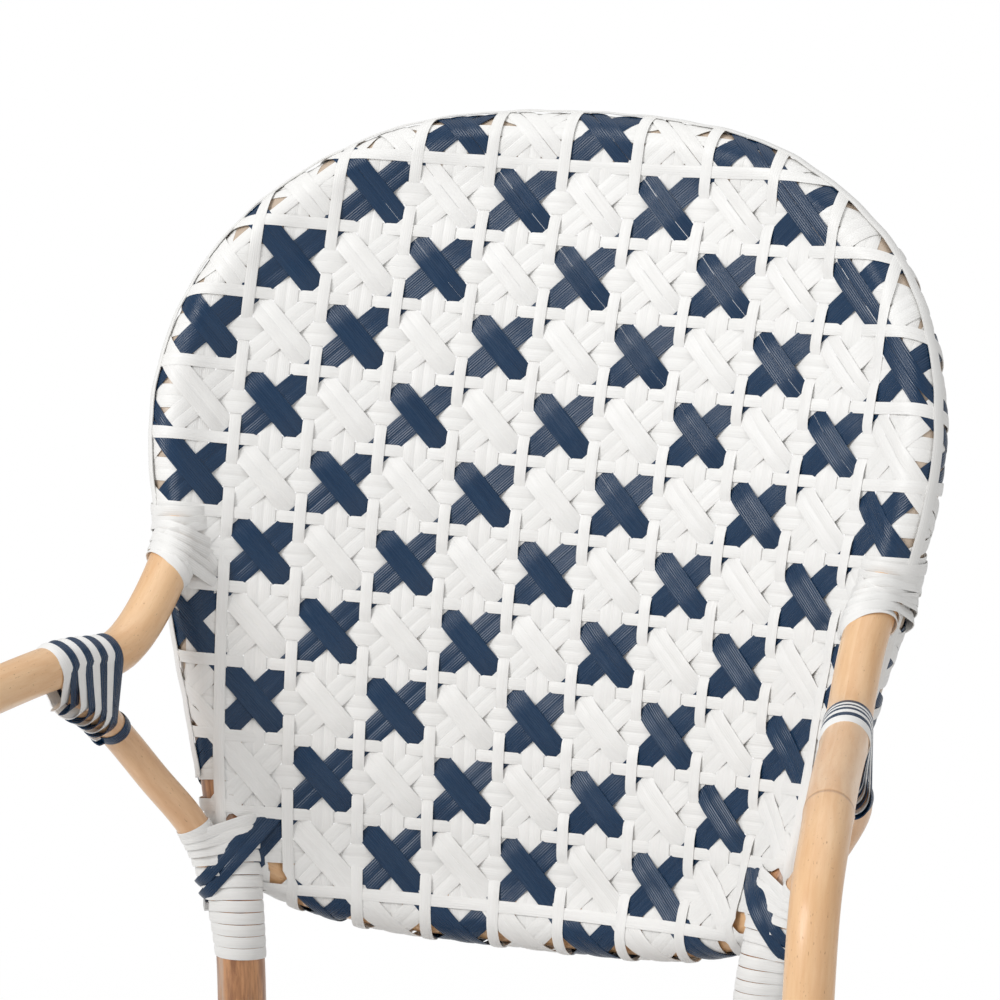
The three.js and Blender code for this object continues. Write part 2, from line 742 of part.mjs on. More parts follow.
const seatPlateSegments = 24;
const seatMiddle = new THREE.Vector3(0, -(seatRearSetback + seatFrontSetback) / 2, seatRingHeight);
const seatPlateRise = seatRingRadius - weaveThickness / 2;
const seatPlatePoint = (share, around, side) => {
  const point = seatMiddle.clone().lerp(seatLoop.getPointAt(around), share);
  point.z += seatPlateRise - seatDish * (1 - share * share) + side * weaveThickness / 2;
  return point;
};

// Cover strip along the outer edge of the hoop
function edgeStripSolid() {
  const stripSteps = 36;
  const endShare = backPoleShareAt(backMiddleHeight - edgeStripEndDropShare * backHalfHeight);
  const middle = backPoint(0, -backOutlineDrop, hoopBehindWeave);
  const jointHeight = backMiddleHeight + armJointRise;
  const rings = [];
  for (let i = 0; i <= stripSteps; i++) {
    const share = lerp(1 - endShare, endShare, i / stripSteps);
    const centre = backPoleAxis.getPointAt(share);
    const tangent = backPoleRoute.getTangentAt(share);
    const outward = centre.clone().sub(middle);
    outward.addScaledVector(tangent, -outward.dot(tangent)).normalize();
    const across = outward.clone().cross(tangent).normalize();
    const nearness = (centre.z - jointHeight) / edgeStripSpread;
    const lift = edgeStripLift * Math.exp(-(nearness ** 4));
    const inner = backPoleRadius + weaveWrap + 3 * fitGap + lift;
    const outer = inner + stripThickness;
    const half = edgeStripWidth / 2;
    rings.push([[inner, half], [outer, half], [outer, -half], [inner, -half]].map(([out, sideways]) => (
      centre.clone().addScaledVector(outward, out).addScaledVector(across, sideways)
    )));
  }
  return bodyOfRings(rings);
}

// Everything below a height, for cutting pole ends flat
function belowFloorCut(height) {
  const block = new THREE.BoxGeometry(4 * cutOverrun, 4 * cutOverrun, cutOverrun);
  block.translate(0, 0, height - cutOverrun / 2);
  return solidOf(block);
}

// Glide at the foot of a leg
function glideProfile(extra = 0) {
  return [
    [0, 0], [glideRadius - glideHeight / 4, 0], [glideRadius, glideHeight / 4], [glideRadius, glideHeight],
    [glideNailRadius + extra, glideHeight], [glideNailRadius + extra, glideHeight + glideNailLength + extra],
    [0, glideHeight + glideNailLength + extra],
  ].map(([x, y]) => new THREE.Vector2(x, y));
}

function glideSolid(place, extra = 0) {
  const geometry = new THREE.LatheGeometry(glideProfile(extra), 2 * screwSides);
  geometry.rotateX(Math.PI / 2);
  geometry.translate(place.x, place.y, 0);
  return solidOf(geometry);
}

// A leg's collar, round the leg and the two arch ends lapped on it
function legCollarStation(end, side, share) {
  const height = legCollarBottom + legCollarHeight * share;
  const leg = mirrored(legAt[end](height), side);
  const axis = mirrored(legAt[end](height + legCollarHeight), side).sub(leg).normalize();
  const sideDirection = end === 'front' ? backward : forward;
  return {
    poles: [
      { centre: leg, axis, radius: legRadii[end] },
      { centre: lapPoint(end, side, inward(side), height), axis, radius: archRadius },
      { centre: lapPoint(end, side, sideDirection, height), axis, radius: archRadius },
    ],
    along: upward,
    reference: inward(side),
  };
}

// A crown's collar, round an arch and the pole above it
function crownCollarStation(arch, above, share) {
  const middle = arch.route.getPointAt(0.5);
  const along = arch.route.getTangentAt(0.5);
  const shift = lerp(-crownCollarLength / 2, crownCollarLength / 2, share);
  const archShare = 0.5 + shift / arch.axis.getLength();
  return {
    poles: [
      poleStation(arch.axis, archShare, archRadius),
      { centre: above.point(middle, shift, along), axis: along, radius: above.radius },
    ],
    along,
    reference: upward,
  };
}

const planDistance = (a, b) => Math.hypot(a.x - b.x, a.y - b.y);

function nearestOnSeatLoop(place) {
  let best = seatLoop.getPointAt(0);
  const samples = 400;
  for (let i = 0; i < samples; i++) {
    const point = seatLoop.getPointAt(i / samples);
    if (planDistance(point, place) < planDistance(best, place)) best = point;
  }
  return best;
}

const aboveCrown = {
  bar: {
    radius: crossBarRadius,
    point: (middle, shift, along) => (
      new THREE.Vector3(middle.x, middle.y, barHeight).addScaledVector(along, shift)
    ),
  },
  ring: {
    radius: sleeveRadius,
    point: (middle, shift, along) => nearestOnSeatLoop(middle.clone().addScaledVector(along, shift)),
  },
};

function buildChair() {
  addFasteners();
  const bores = fasteners.map(({ bore }) => bore);
  const floorCut = belowFloorCut(glideHeight + fitGap);
  const feet = [];
  for (const [name, side] of sides) {
    feet.push([`front_${name}`, mirrored(frontLegAt(glideHeight), side)]);
    feet.push([`rear_${name}`, mirrored(backPoleAt(glideHeight), side)]);
  }
  const glideBores = feet.map(([, place]) => glideSolid(place, fitGap));

  // Bent poles
  const backPole = poleSolid(backPoleRoute, backPoleRadius, backPoleSteps, thinPoleSides);
  const backPoleClear = poleSolid(backPoleRoute, backPoleRadius + fitGap, backPoleSteps, thinPoleSides);
  addPart('back_hoop_and_rear_legs', cut(backPole, floorCut, bores, glideBores), colours.barkRattan, 0.45);

  const rail = poleSolid(railRoute, railRadius, railSteps, thinPoleSides);
  const railClear = poleSolid(railRoute, railRadius + fitGap, railSteps, thinPoleSides);
  addPart('back_bottom_rail', cut(rail, backPoleClear, bores), colours.honeyRattan);

  const armClears = [];
  const braceClears = [];
  for (const [name, side] of sides) {
    const route = smooth(armRoute.points.map((point) => mirrored(point, side)));
    const arm = poleSolid(route, armPoleRadius, armSteps);
    armClears.push(poleSolid(route, armPoleRadius + fitGap, armSteps));
    const fitted = cut(arm, backPoleClear, floorCut, bores, glideBores);
    addPart(`arm_and_front_leg_${name}`, fitted, colours.honeyRattan, 0.35);
  }
  for (const [name, side] of sides) {
    const route = smooth(braceRoute.points.map((point) => mirrored(point, side)));
    const brace = poleSolid(route, braceRadius, braceSteps, thinPoleSides);
    braceClears.push(poleSolid(route, braceRadius + fitGap, braceSteps, thinPoleSides));
    addPart(`arm_brace_${name}`, cut(brace, backPoleClear, armClears, bores), colours.paleRattan, 0.45);
  }

  // Bindings of flat strip
  for (const [name, side] of sides) {
    const armLabel = `arm_binding_${name}`;
    const armWinding = windStrip(armLabel, side, armBindingTurns, armBindingStation);
    addPart(armLabel, armWinding, colours.white, 0.5);
    for (const [colourName, offsetShare] of [['white', 0], ['navy', pairLeadShare / 2]]) {
      const station = (share) => bracePairStation(offsetShare, share);
      const label = `brace_binding_${colourName}_${name}`;
      const winding = windStrip(label, side, bracePairTurns, station, pairStripWidth);
      addPart(label, winding, colours[colourName], 0.45);
    }
    const label = `rear_post_binding_${name}`;
    const winding = windStrip(label, side, poleBindingTurns, poleBindingStation);
    addPart(label, winding, colours.white, 0.5);
  }

  // Seat ring and its bars
  const seatRingClear = seatLoopSolid(seatRingRadius + fitGap);
  addPart(
    'seat_ring', cut(seatLoopSolid(seatRingRadius), seatSlitSolid(), backPoleClear, armClears, bores),
    colours.honeyRattan,
  );
  const barClears = [];
  for (const [name, setback] of crossBars) {
    const bar = poleSolid(crossBarRoute(setback), crossBarRadius, 1, thinPoleSides);
    barClears.push(poleSolid(crossBarRoute(setback), crossBarRadius + fitGap, 1, thinPoleSides));
    addPart(`seat_cross_bar_${name}`, cut(bar, seatRingClear, bores), colours.honeyRattan);
  }

  // Arches, their crown collars and the leg collars
  const sleeveClear = seatLoopSolid(sleeveRadius + fitGap);
  const archClears = [];
  const crownClears = [];
  for (const arch of arches) {
    const archSteps = spanCount(arch.route);
    const pole = poleSolid(arch.route, archRadius, archSteps, thinPoleSides);
    archClears.push(poleSolid(arch.route, archRadius + fitGap, archSteps, thinPoleSides));
    const fitted = cut(pole, backPoleClear, armClears, sleeveClear, barClears, bores);
    addPart(`${arch.name}_arch`, fitted, colours.paleRattan);
    const above = arch.name === 'front' ? aboveCrown.bar : aboveCrown.ring;
    const station = (share) => crownCollarStation(arch, above, share);
    addPart(`${arch.name}_arch_binding`, cut(collarSolid(station), bores), colours.white);
    crownClears.push(collarSolid(station, fitGap));
  }
  for (const [name, side] of sides) {
    for (const end of ['front', 'rear']) {
      const collar = collarSolid((share) => legCollarStation(end, side, share));
      addPart(`${end}_leg_binding_${name}`, collar, colours.white);
    }
  }

  // Woven seat: a plate with its wrap round the ring
  const seatSleeve = seatLoopSolid(sleeveRadius);
  const seatPlate = plateSolid(seatPlatePoint, plateRingShares, seatPlateSegments);
  addPart(
    'seat_weave',
    cut(seatSleeve.add(seatPlate), seatRingClear, backPoleClear, armClears, barClears, crownClears, bores),
    colours.white, 0.55,
  );

  // Woven back: a plate with its wrap round the hoop and the rail
  const weaveEndHeight = backMiddleHeight - weaveEndDropShare * backHalfHeight;
  const weaveEnd = backPoleRoute.getUtoTmapping(backPoleShareAt(weaveEndHeight));
  const hoopSleeveSteps = Math.round((2 * weaveEnd - 1) * backPoleSteps);
  const wovenHoop = new Stretch(backPoleRoute, 1 - weaveEnd, weaveEnd);
  const hoopSleeve = poleSolid(wovenHoop, backPoleRadius + weaveWrap, hoopSleeveSteps, thinPoleSides);
  const wovenRail = new Stretch(railRoute, railSleeveShare, 1 - railSleeveShare);
  const railSleeve = poleSolid(wovenRail, railRadius + weaveWrap, railSteps, thinPoleSides);
  const backPlate = plateSolid(backPlatePoint, plateRingShares, backPlateSegments);
  addPart(
    'back_weave',
    cut(hoopSleeve.add(railSleeve).add(backPlate), backPoleClear, railClear, armClears, braceClears),
    colours.white, 0.55,
  );
  addPart('back_edge_strip', edgeStripSolid(), colours.white, 0.5);

  for (const { name, solid } of fasteners) addPart(name, solid, colours.steel, 0.35, 0.9);
  for (const [name, place] of feet) addPart(`foot_glide_${name}`, glideSolid(place), colours.glide, 0.6);
}

buildChair();

// The chair stands with the middle of its plan on the origin
const extent = new THREE.Box3().setFromObject(chair);
chair.position.y = -(extent.min.y + extent.max.y) / 2;

export default chair;
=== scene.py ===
import json
import math

import bpy
import numpy as np
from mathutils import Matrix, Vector

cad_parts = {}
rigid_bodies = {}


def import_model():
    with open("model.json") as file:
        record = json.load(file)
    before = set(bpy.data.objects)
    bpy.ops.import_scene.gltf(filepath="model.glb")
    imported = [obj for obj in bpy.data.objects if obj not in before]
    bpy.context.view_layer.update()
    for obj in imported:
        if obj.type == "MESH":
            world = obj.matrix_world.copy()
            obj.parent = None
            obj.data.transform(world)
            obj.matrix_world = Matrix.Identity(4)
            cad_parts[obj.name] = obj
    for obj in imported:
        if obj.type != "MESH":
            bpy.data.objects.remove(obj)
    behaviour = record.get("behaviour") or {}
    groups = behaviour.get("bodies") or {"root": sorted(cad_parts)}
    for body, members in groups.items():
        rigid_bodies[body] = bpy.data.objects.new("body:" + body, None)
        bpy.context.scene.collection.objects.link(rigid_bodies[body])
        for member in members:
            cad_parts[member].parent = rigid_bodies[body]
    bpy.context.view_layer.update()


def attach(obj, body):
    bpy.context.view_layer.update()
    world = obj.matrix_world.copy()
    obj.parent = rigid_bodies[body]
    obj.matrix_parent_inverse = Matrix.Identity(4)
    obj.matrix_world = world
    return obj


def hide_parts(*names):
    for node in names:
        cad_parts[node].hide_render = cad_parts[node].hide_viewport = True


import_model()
mm = 0.001
rng = np.random.default_rng(7)


# Curves and meshes, in millimetres until a mesh is made

def unit(vectors):
    return vectors / np.linalg.norm(vectors, axis=-1, keepdims=True)


def dot(a, b):
    return (a * b).sum(-1, keepdims=True)


def smoothStep(value):
    value = np.clip(value, 0, 1)
    return value * value * (3 - 2 * value)


def smoothCurve(points, steps, closed=False):
    points = np.array(points, float)
    if closed:
        around = np.vstack([points[-1:], points, points[:2]])
    else:
        around = np.vstack([2 * points[:1] - points[1:2], points, 2 * points[-1:] - points[-2:-1]])
    before, start, end, after = around[:-3], around[1:-2], around[2:-1], around[3:]
    gaps = np.sqrt(np.linalg.norm(np.diff(around, axis=0), axis=1))[:, None]
    gapIn, gap, gapOut = gaps[:-2], gaps[1:-1], gaps[2:]
    leave = ((start - before) / gapIn - (end - before) / (gapIn + gap) + (end - start) / gap) * gap
    arrive = ((end - start) / gap - (after - start) / (gap + gapOut) + (after - end) / gapOut) * gap
    t = (np.arange(steps) / steps)[None, :, None]
    start, end, leave, arrive = (part[:, None] for part in (start, end, leave, arrive))
    square = 3 * (end - start) - 2 * leave - arrive
    cube = 2 * (start - end) + leave + arrive
    curve = (start + t * (leave + t * (square + t * cube))).reshape(-1, points.shape[1])
    return curve if closed else np.vstack([curve, points[-1:]])


def between(first, second, share):
    return first + (second - first) * share


def turningPoint(isBefore, low, high):
    for _ in range(40):
        middle = (low + high) / 2
        if isBefore(middle):
            low = middle
        else:
            high = middle
    return (low + high) / 2


class Path:
    def __init__(self, points, radius=0, closed=False):
        self.radius = radius
        self.closed = closed
        self.points = np.vstack([points, points[:1]]) if closed else np.array(points, float)
        self.runs = np.concatenate([[0], np.cumsum(np.linalg.norm(np.diff(self.points, axis=0), axis=1))])
        self.length = self.runs[-1]
        ahead = np.roll(self.points[:-1], -1, 0) if closed else self.points[1:]
        behind = np.roll(self.points[:-1], 1, 0) if closed else self.points[:-1]
        steps = unit(ahead - behind)
        self.tangents = np.vstack([steps, steps[:1] if closed else steps[-1:]])

    def look(self, table, run):
        run = np.asarray(run, float)
        if self.closed:
            run = run % self.length
        return np.stack([np.interp(run, self.runs, table[:, k]) for k in range(table.shape[1])], -1)

    def at(self, run):
        return self.look(self.points, run)

    def tangentAt(self, run):
        return unit(self.look(self.tangents, run))

    def runWhere(self, axis, value, low, high):
        # The coordinate falls from low to high
        return turningPoint(lambda run: self.at(run)[axis] > value, low, high)

    def runMeeting(self, point, way, low, high):
        # Where the path goes through the plane that is square to the way at the point
        return turningPoint(lambda run: (self.at(run) - point).dot(way) < 0, low, high)

    def pole(self, run, facing=1):
        return self.at(run), self.tangentAt(run) * facing, self.radius

    def even(self, step, start=0, end=None):
        end = self.length if end is None else end
        return np.linspace(start, end, max(3, int(round((end - start) / step)) + 1))


def addObject(name, data):
    made = bpy.data.objects.new(name, data)
    bpy.context.collection.objects.link(made)
    return made


class MeshStock:
    def __init__(self):
        self.count = 0
        self.vertices, self.faces, self.uvs, self.tones = [], [], [], []

    def addGrid(self, points, along, across, tone=0.5, closed=False):
        # Rows of a closed section; along and across give each point's place in metres for the finish
        rows, columns = points.shape[:2]
        row = np.arange(rows if closed else rows - 1)[:, None]
        column = np.arange(columns)[None, :]
        corners = [(row, column), (row, column + 1), (row + 1, column + 1), (row + 1, column)]
        quads = np.stack([r % rows * columns + c % columns for r, c in corners], -1)
        self.faces += (quads.reshape(-1, 4) + self.count).tolist()
        uv = [np.stack(np.broadcast_arrays(along[r], across[c]), -1) for r, c in corners]
        self.uvs.append(np.stack(uv, -2).reshape(-1, 2))
        if not closed:
            last = self.count + (rows - 1) * columns
            self.faces.append(list(range(self.count + columns - 1, self.count - 1, -1)))
            self.faces.append(list(range(last, last + columns)))
            self.uvs.append(np.zeros((2 * columns, 2)))
        self.vertices.append(points.reshape(-1, 3))
        self.tones.append(np.full(rows * columns, tone))
        self.count += rows * columns

    def build(self, name, material, sharpDegrees=40):
        mesh = bpy.data.meshes.new(name)
        mesh.from_pydata((np.concatenate(self.vertices) * mm).tolist(), [], self.faces)
        mesh.uv_layers.new(name="UVMap").data.foreach_set("uv", np.concatenate(self.uvs).ravel())
        tone = mesh.attributes.new("tone", "FLOAT", "POINT")
        tone.data.foreach_set("value", np.concatenate(self.tones))
        piece = addObject(name, mesh)
        mesh.materials.append(material)
        bpy.ops.object.select_all(action="DESELECT")
        piece.select_set(True)
        bpy.context.view_layer.objects.active = piece
        bpy.ops.object.mode_set(mode="EDIT")
        bpy.ops.mesh.select_all(action="SELECT")
        bpy.ops.mesh.normals_make_consistent(inside=False)
        bpy.ops.object.mode_set(mode="OBJECT")
        bpy.ops.object.shade_smooth_by_angle(angle=math.radians(sharpDegrees))
        return piece


def makePiece(stock, name, slotName, node=None):
    piece = stock.build(name, materials[slotName])
    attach(piece, "root")
    if node:
        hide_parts(node)


# Shader maths: sockets that Python's operators work on

class Socket:
    def __init__(self, graph, output):
        self.graph = graph
        self.output = output

    def math(self, operation, *others):
        return self.graph.node("Math", (self, *others), operation=operation)

    def __add__(self, other):
        return self.math("ADD", other)

    def __sub__(self, other):
        return self.math("SUBTRACT", other)

    def __mul__(self, other):
        return self.math("MULTIPLY", other)

    def __truediv__(self, other):
        return self.math("DIVIDE", other)

    def outlet(self, place):
        return Socket(self.graph, self.output.node.outputs[place])

    def ramp(self, start, end, low=0.0, high=1.0):
        inputs = [self, start, end, low, high]
        return self.graph.node("MapRange", inputs, interpolation_type="SMOOTHSTEP")


class NodeGraph:
    def __init__(self, owner):
        owner.use_nodes = True
        self.tree = owner.node_tree

    def plug(self, target, value):
        if isinstance(value, Socket):
            self.tree.links.new(value.output, target)
        elif target.type == "RGBA" and len(value) == 3:
            target.default_value = (*value, 1)
        else:
            target.default_value = value

    def node(self, kind, inputs=(), outlet=0, **settings):
        made = self.tree.nodes.new("ShaderNode" + kind)
        for key, value in settings.items():
            setattr(made, key, value)
        named = inputs.items() if isinstance(inputs, dict) else enumerate(inputs)
        for key, value in named:
            self.plug(made.inputs[key], value)
        return Socket(self, made.outputs[outlet])

    def finish(self, outputName, surface):
        self.tree.links.new(surface.output, self.tree.nodes[outputName].inputs["Surface"])


class Material(NodeGraph):
    def __init__(self, name):
        self.material = bpy.data.materials.new(name)
        super().__init__(self.material)
        self.shader = self.tree.nodes["Principled BSDF"]

    def mix(self, share, first, second):
        made = self.tree.nodes.new("ShaderNodeMix")
        made.data_type = "RGBA"
        for key, value in (("Factor_Float", share), ("A_Color", first), ("B_Color", second)):
            self.plug(next(s for s in made.inputs if s.identifier == key), value)
        return Socket(self, next(s for s in made.outputs if s.identifier == "Result_Color"))

    def vector(self, operation, *inputs, **settings):
        return self.node("VectorMath", {**dict(enumerate(inputs)), **settings}, operation=operation)

    def noise(self, vector, scale, detail=3.0, roughness=0.5):
        return self.node("TexNoise", {
            "Vector": vector, "Scale": scale, "Detail": detail, "Roughness": roughness,
        }, outlet="Fac")

    def set(self, **values):
        for key, value in values.items():
            self.plug(self.shader.inputs[key.replace("_", " ")], value)

    def bump(self, height, distance, **settings):
        self.set(Normal=self.node("Bump", {
            "Height": height, "Distance": distance, "Strength": 1.0, **settings,
        }))


class StrandMaterial(Material):
    # Its finish follows the strand: place along and across it in metres, and a tone of its own
    def __init__(self, name):
        super().__init__(name)
        self.along = self.node("SeparateXYZ", [self.node("UVMap", uv_map="UVMap")])
        self.across = self.along.outlet(1)
        self.tone = self.node("Attribute", outlet="Fac", attribute_name="tone")

    def grain(self, scales, detail=2.0, roughness=0.5):
        along, across, tone = scales
        place = self.node("CombineXYZ", [self.along * along, self.across * across, self.tone * tone])
        return self.noise(place, 1.0, detail, roughness)

    def ridged(self, phase, slope):
        # Normal that leans to and fro across the strand, as over fine ridges
        facing = self.node("NewGeometry", outlet="Normal")
        run = self.node("Tangent", direction_type="UV_MAP", uv_map="UVMap")
        sideways = self.vector("CROSS_PRODUCT", facing, run)
        lean = self.vector("SCALE", sideways, Scale=phase.math("COSINE") * slope)
        return self.vector("NORMALIZE", self.vector("ADD", facing, lean))


stripFinish = {
    "white": {
        "base": (0.855, 0.85, 0.834), "shade": (0.805, 0.797, 0.778), "roughness": 0.45, "ior": 1.45,
        "ridgeSlope": 0.1, "grainDepth": 0.00003,
    },
    "navy": {
        "base": (0.005, 0.027, 0.07), "shade": (0.01, 0.038, 0.09), "roughness": 0.24, "ior": 1.43,
        "ridgeSlope": 0.34, "grainDepth": 0.00004,
    },
    "ridgePitch": 0.00108, "ridgeWander": 1.6, "ridgeShift": 6,
    "grainScales": (60, 900, 40), "grainShade": 0.55, "toneShade": 0.45,
}


def makeStripMaterial(kind):
    made = StrandMaterial(kind + "Strip")
    finish, roughness = stripFinish[kind], stripFinish[kind]["roughness"]
    grain = made.grain(stripFinish["grainScales"], 3.0)
    share = grain.ramp(0.3, 0.75) * stripFinish["grainShade"] + made.tone * stripFinish["toneShade"]
    made.set(
        Base_Color=made.mix(share, finish["base"], finish["shade"]),
        Roughness=grain.ramp(0.2, 0.8, roughness - 0.05, roughness + 0.1),
        IOR=finish["ior"],
    )
    phase = made.across * (2 * math.pi / stripFinish["ridgePitch"]) + grain * stripFinish["ridgeWander"]
    ridges = made.ridged(phase + made.tone * stripFinish["ridgeShift"], finish["ridgeSlope"])
    made.bump(grain, finish["grainDepth"], Normal=ridges)
    return made.material


rattanFinish = {
    "peeled": {
        "light": (0.88, 0.6, 0.35), "dark": (0.73, 0.415, 0.2), "speck": (0.34, 0.155, 0.065),
        "roughness": 0.32, "streaks": 0.22,
    },
    "pale": {
        "light": (0.83, 0.55, 0.325), "dark": (0.63, 0.36, 0.19), "speck": (0.28, 0.135, 0.06),
        "roughness": 0.32, "streaks": 0.2,
    },
    "bark": {
        "light": (0.73, 0.37, 0.165), "dark": (0.25, 0.1, 0.042), "speck": (0.1, 0.04, 0.02),
        "weathered": (0.52, 0.39, 0.3), "underWeave": (0.56, 0.45, 0.35),
        "roughness": 0.36, "streaks": 0.12,
    },
    # Noise scales along and across the pole and from pole to pole
    "streakScales": (26, 190, 9), "broadScales": (9, 30, 5), "fibreScales": (160, 2600, 3),
    "speckScales": (420, 1500, 20), "patchScales": (13, 150, 31),
    "knotPitch": 0.31, "knotWidth": 0.0022, "knotShift": 3.7, "reliefDepth": 0.00016,
    "underWeaveFrom": 0.59, "underWeaveTo": 0.64,  # metres up, where the hoop goes in under the weave
}


def makeRattanMaterial(kind):
    made = StrandMaterial(kind + "Rattan")
    finish = rattanFinish
    colours, roughness, streaks = finish[kind], finish[kind]["roughness"], finish[kind]["streaks"]
    streak = made.grain(finish["streakScales"], 5.0, 0.62)
    broad, fibre = made.grain(finish["broadScales"]), made.grain(finish["fibreScales"])
    specks = made.grain(finish["speckScales"], 1.0).ramp(0.7, 0.78)
    knotPlace = (made.along / finish["knotPitch"] + made.tone * finish["knotShift"]).math("FRACT") - 0.5
    knotLine = knotPlace.math("ABSOLUTE").ramp(finish["knotWidth"] / finish["knotPitch"], 0.0)
    share = streak.ramp(0.5 - streaks, 0.5 + streaks) * 0.6 + broad * 0.35 + fibre * 0.15
    body = made.mix(share, colours["light"], colours["dark"])
    if "weathered" in colours:
        patches = made.grain(finish["patchScales"], 4.0, 0.6)
        body = made.mix(patches.ramp(0.5, 0.66) * 0.75, body, colours["weathered"])
        height = made.node("SeparateXYZ", [made.node("TexCoord", outlet="Object")]).outlet(2)
        covered = height.ramp(finish["underWeaveFrom"], finish["underWeaveTo"])
        body = made.mix(covered, body, colours["underWeave"])
    marked = made.mix(specks * 0.55, body, colours["speck"])
    made.set(
        Base_Color=made.mix(knotLine * 0.6, marked, colours["speck"]),
        Roughness=streak.ramp(0.2, 0.8, roughness - 0.06, roughness + 0.12),
        IOR=1.5, Coat_Weight=0.35, Coat_Roughness=0.22,
    )
    made.bump(fibre * 0.6 + streak * 0.5 - knotLine * 1.5 - specks * 0.5, finish["reliefDepth"])
    return made.material


plainFinish = {
    "zincSteel": {
        "base": (0.62, 0.61, 0.6), "shade": (0.45, 0.44, 0.43), "metallic": 1.0,
        "roughness": (0.28, 0.44), "grainScale": 900, "grainDepth": 0.00003,
    },
    "glideNylon": {
        "base": (0.035, 0.03, 0.027), "shade": (0.06, 0.052, 0.046), "metallic": 0.0,
        "roughness": (0.5, 0.66), "grainScale": 700, "grainDepth": 0.00005,
    },
}


def makePlainMaterial(name):
    made = Material(name)
    finish = plainFinish[name]
    grain = made.noise(made.node("TexCoord", outlet="Object"), finish["grainScale"], 4.0)
    made.set(
        Base_Color=made.mix(grain, finish["base"], finish["shade"]), Metallic=finish["metallic"],
        Roughness=grain.ramp(0.3, 0.7, *finish["roughness"]),
    )
    made.bump(grain, finish["grainDepth"])
    return made.material


materials = {
    "white_strip": makeStripMaterial("white"), "navy_strip": makeStripMaterial("navy"),
    "peeled_rattan": makeRattanMaterial("peeled"), "pale_rattan": makeRattanMaterial("pale"),
    "bark_rattan": makeRattanMaterial("bark"),
    "steel": makePlainMaterial("zincSteel"), "nylon": makePlainMaterial("glideNylon"),
}
print("materials made")


# The back's shape: a bent and bowed sheet, leaning back

backShape = {
    "bendTop": 570, "bendMiddle": 409, "bendBottom": 252, "reach": 198, "bow": 8, "lean": 14.1,
    "height": 712, "halfWidth": 195, "halfHeight": 209.5, "drop": 12.2, "behind": 9.4,
    "planShift": 215.754,  # from the back's own middle to the chair's
}


def backPlace(across, up, behind=0.0):
    share = up / backShape["reach"]
    top, middle, bottom = (1 / backShape[key] for key in ("bendTop", "bendMiddle", "bendBottom"))
    bend = middle + (top - bottom) / 2 * share + ((top + bottom) / 2 - middle) * share * share
    x = np.sin(across * bend) / bend
    y = (np.cos(across * bend) - 1) / bend + backShape["bow"] * share * share + behind
    lean = math.radians(backShape["lean"])
    return np.stack(np.broadcast_arrays(
        x,
        y * math.cos(lean) + up * math.sin(lean) + backShape["planShift"],
        backShape["height"] - y * math.sin(lean) + up * math.cos(lean),
    ), -1)


def backSheet(flat):
    return backPlace(flat[..., 0], flat[..., 1])


def mirrored(points):
    return np.array(points) * [-1, 1, 1]


hoopShares = [
    (0, 1), (0.25, 0.988), (0.5, 0.935), (0.79, 0.758), (0.93, 0.57), (0.997, 0.308), (0.95, -0.01),
    (0.87, -0.32), (0.82, -0.5),
]
railShares = [(0.6, -0.8), (0.42, -0.836), (0.21, -0.848), (0, -0.85)]
rearPostShares = [(1.046, 0.9, 0.7885), (1.008, 0.98, 0.9923)]
rearLegShares = [(1, 1, 0.9715), (1.008, 0.95, 0.7484), (1.06, 0.73, 0.4272), (1.16, 0.26, 0)]
frameShape = {
    "seatHeight": 450, "legHalfWidth": 131, "legForward": 86,
    "armHalfWidth": 224, "armReach": 345, "armDrop": 47, "armBendDrop": 58, "armJointRise": 6,
    "armBendShare": 0.41, "railEndDrop": 0.717,
    "braceDrop": 139, "braceLapReach": 172, "braceTopReach": 140, "braceEntryDepth": 12, "braceTopSlack": 2,
    "backRadius": 12, "armRadius": 10.75, "railRadius": 11, "ringRadius": 11, "braceRadius": 8,
    "barRadius": 8, "archRadius": 8, "glideHeight": 4.3,
}


def outlinePlace(across, up):
    high = up * backShape["halfHeight"] - backShape["drop"]
    return backPlace(across * backShape["halfWidth"], high, backShape["behind"])


def planY(forward):
    # From a distance forward of the back's middle, or back to it
    return backShape["planShift"] - forward


def chairPlace(x, forward, height):
    return np.array([x, planY(forward), height])


def rearPlace(width, ahead, height):
    return chairPlace(width * frameShape["legHalfWidth"], ahead * frameShape["legForward"], height)


def placesOf(place, table, start, span):
    # The table's last share is a height's, from the start over the span
    return [place(width, forward, start + share * span) for width, forward, share in table]


def halfHoop():
    posts = placesOf(rearPlace, rearPostShares, backShape["height"], -backShape["halfHeight"])
    legs = placesOf(rearPlace, rearLegShares, 0, frameShape["seatHeight"])
    return [outlinePlace(*shares) for shares in hoopShares] + posts + legs


def pathOf(points, radius):
    return Path(smoothCurve(points, 24), radius)


leftHoop = halfHoop()
backPole = pathOf([mirrored(point) for point in leftHoop[:0:-1]] + leftHoop, frameShape["backRadius"])


def backRunAt(height):
    return backPole.runWhere(2, height, backPole.length / 2, backPole.length)


def backPoleAt(height):
    return backPole.at(backRunAt(height))


armLevelShares = [
    (0.79, 0.186, 0.36), (0.81, 0.325, 0.93), (0.86, 0.475, 0.86), (0.915, 0.667, 0.87),
    (0.965, 0.832, 0.93),
]
armBendShares = [(0.993, 0.951, 0.29), (1.002, 1, 1), (1.002, 1.007, 1.338)]
frontLegShares = [(0.987, 1.03, 0.9715), (0.98, 1.06, 0.6329), (0.991, 1.125, 0)]
braceMiddleShares = [(0.821, 0.316, 0.64), (0.768, 0.283, 0.8), (0.685, 0.257, 1)]
braceLapShares = [(1.24, 0.62), (1.44, 0.3)]


def armPlace(width, reach, height):
    return chairPlace(width * frameShape["armHalfWidth"], reach * frameShape["armReach"], height)


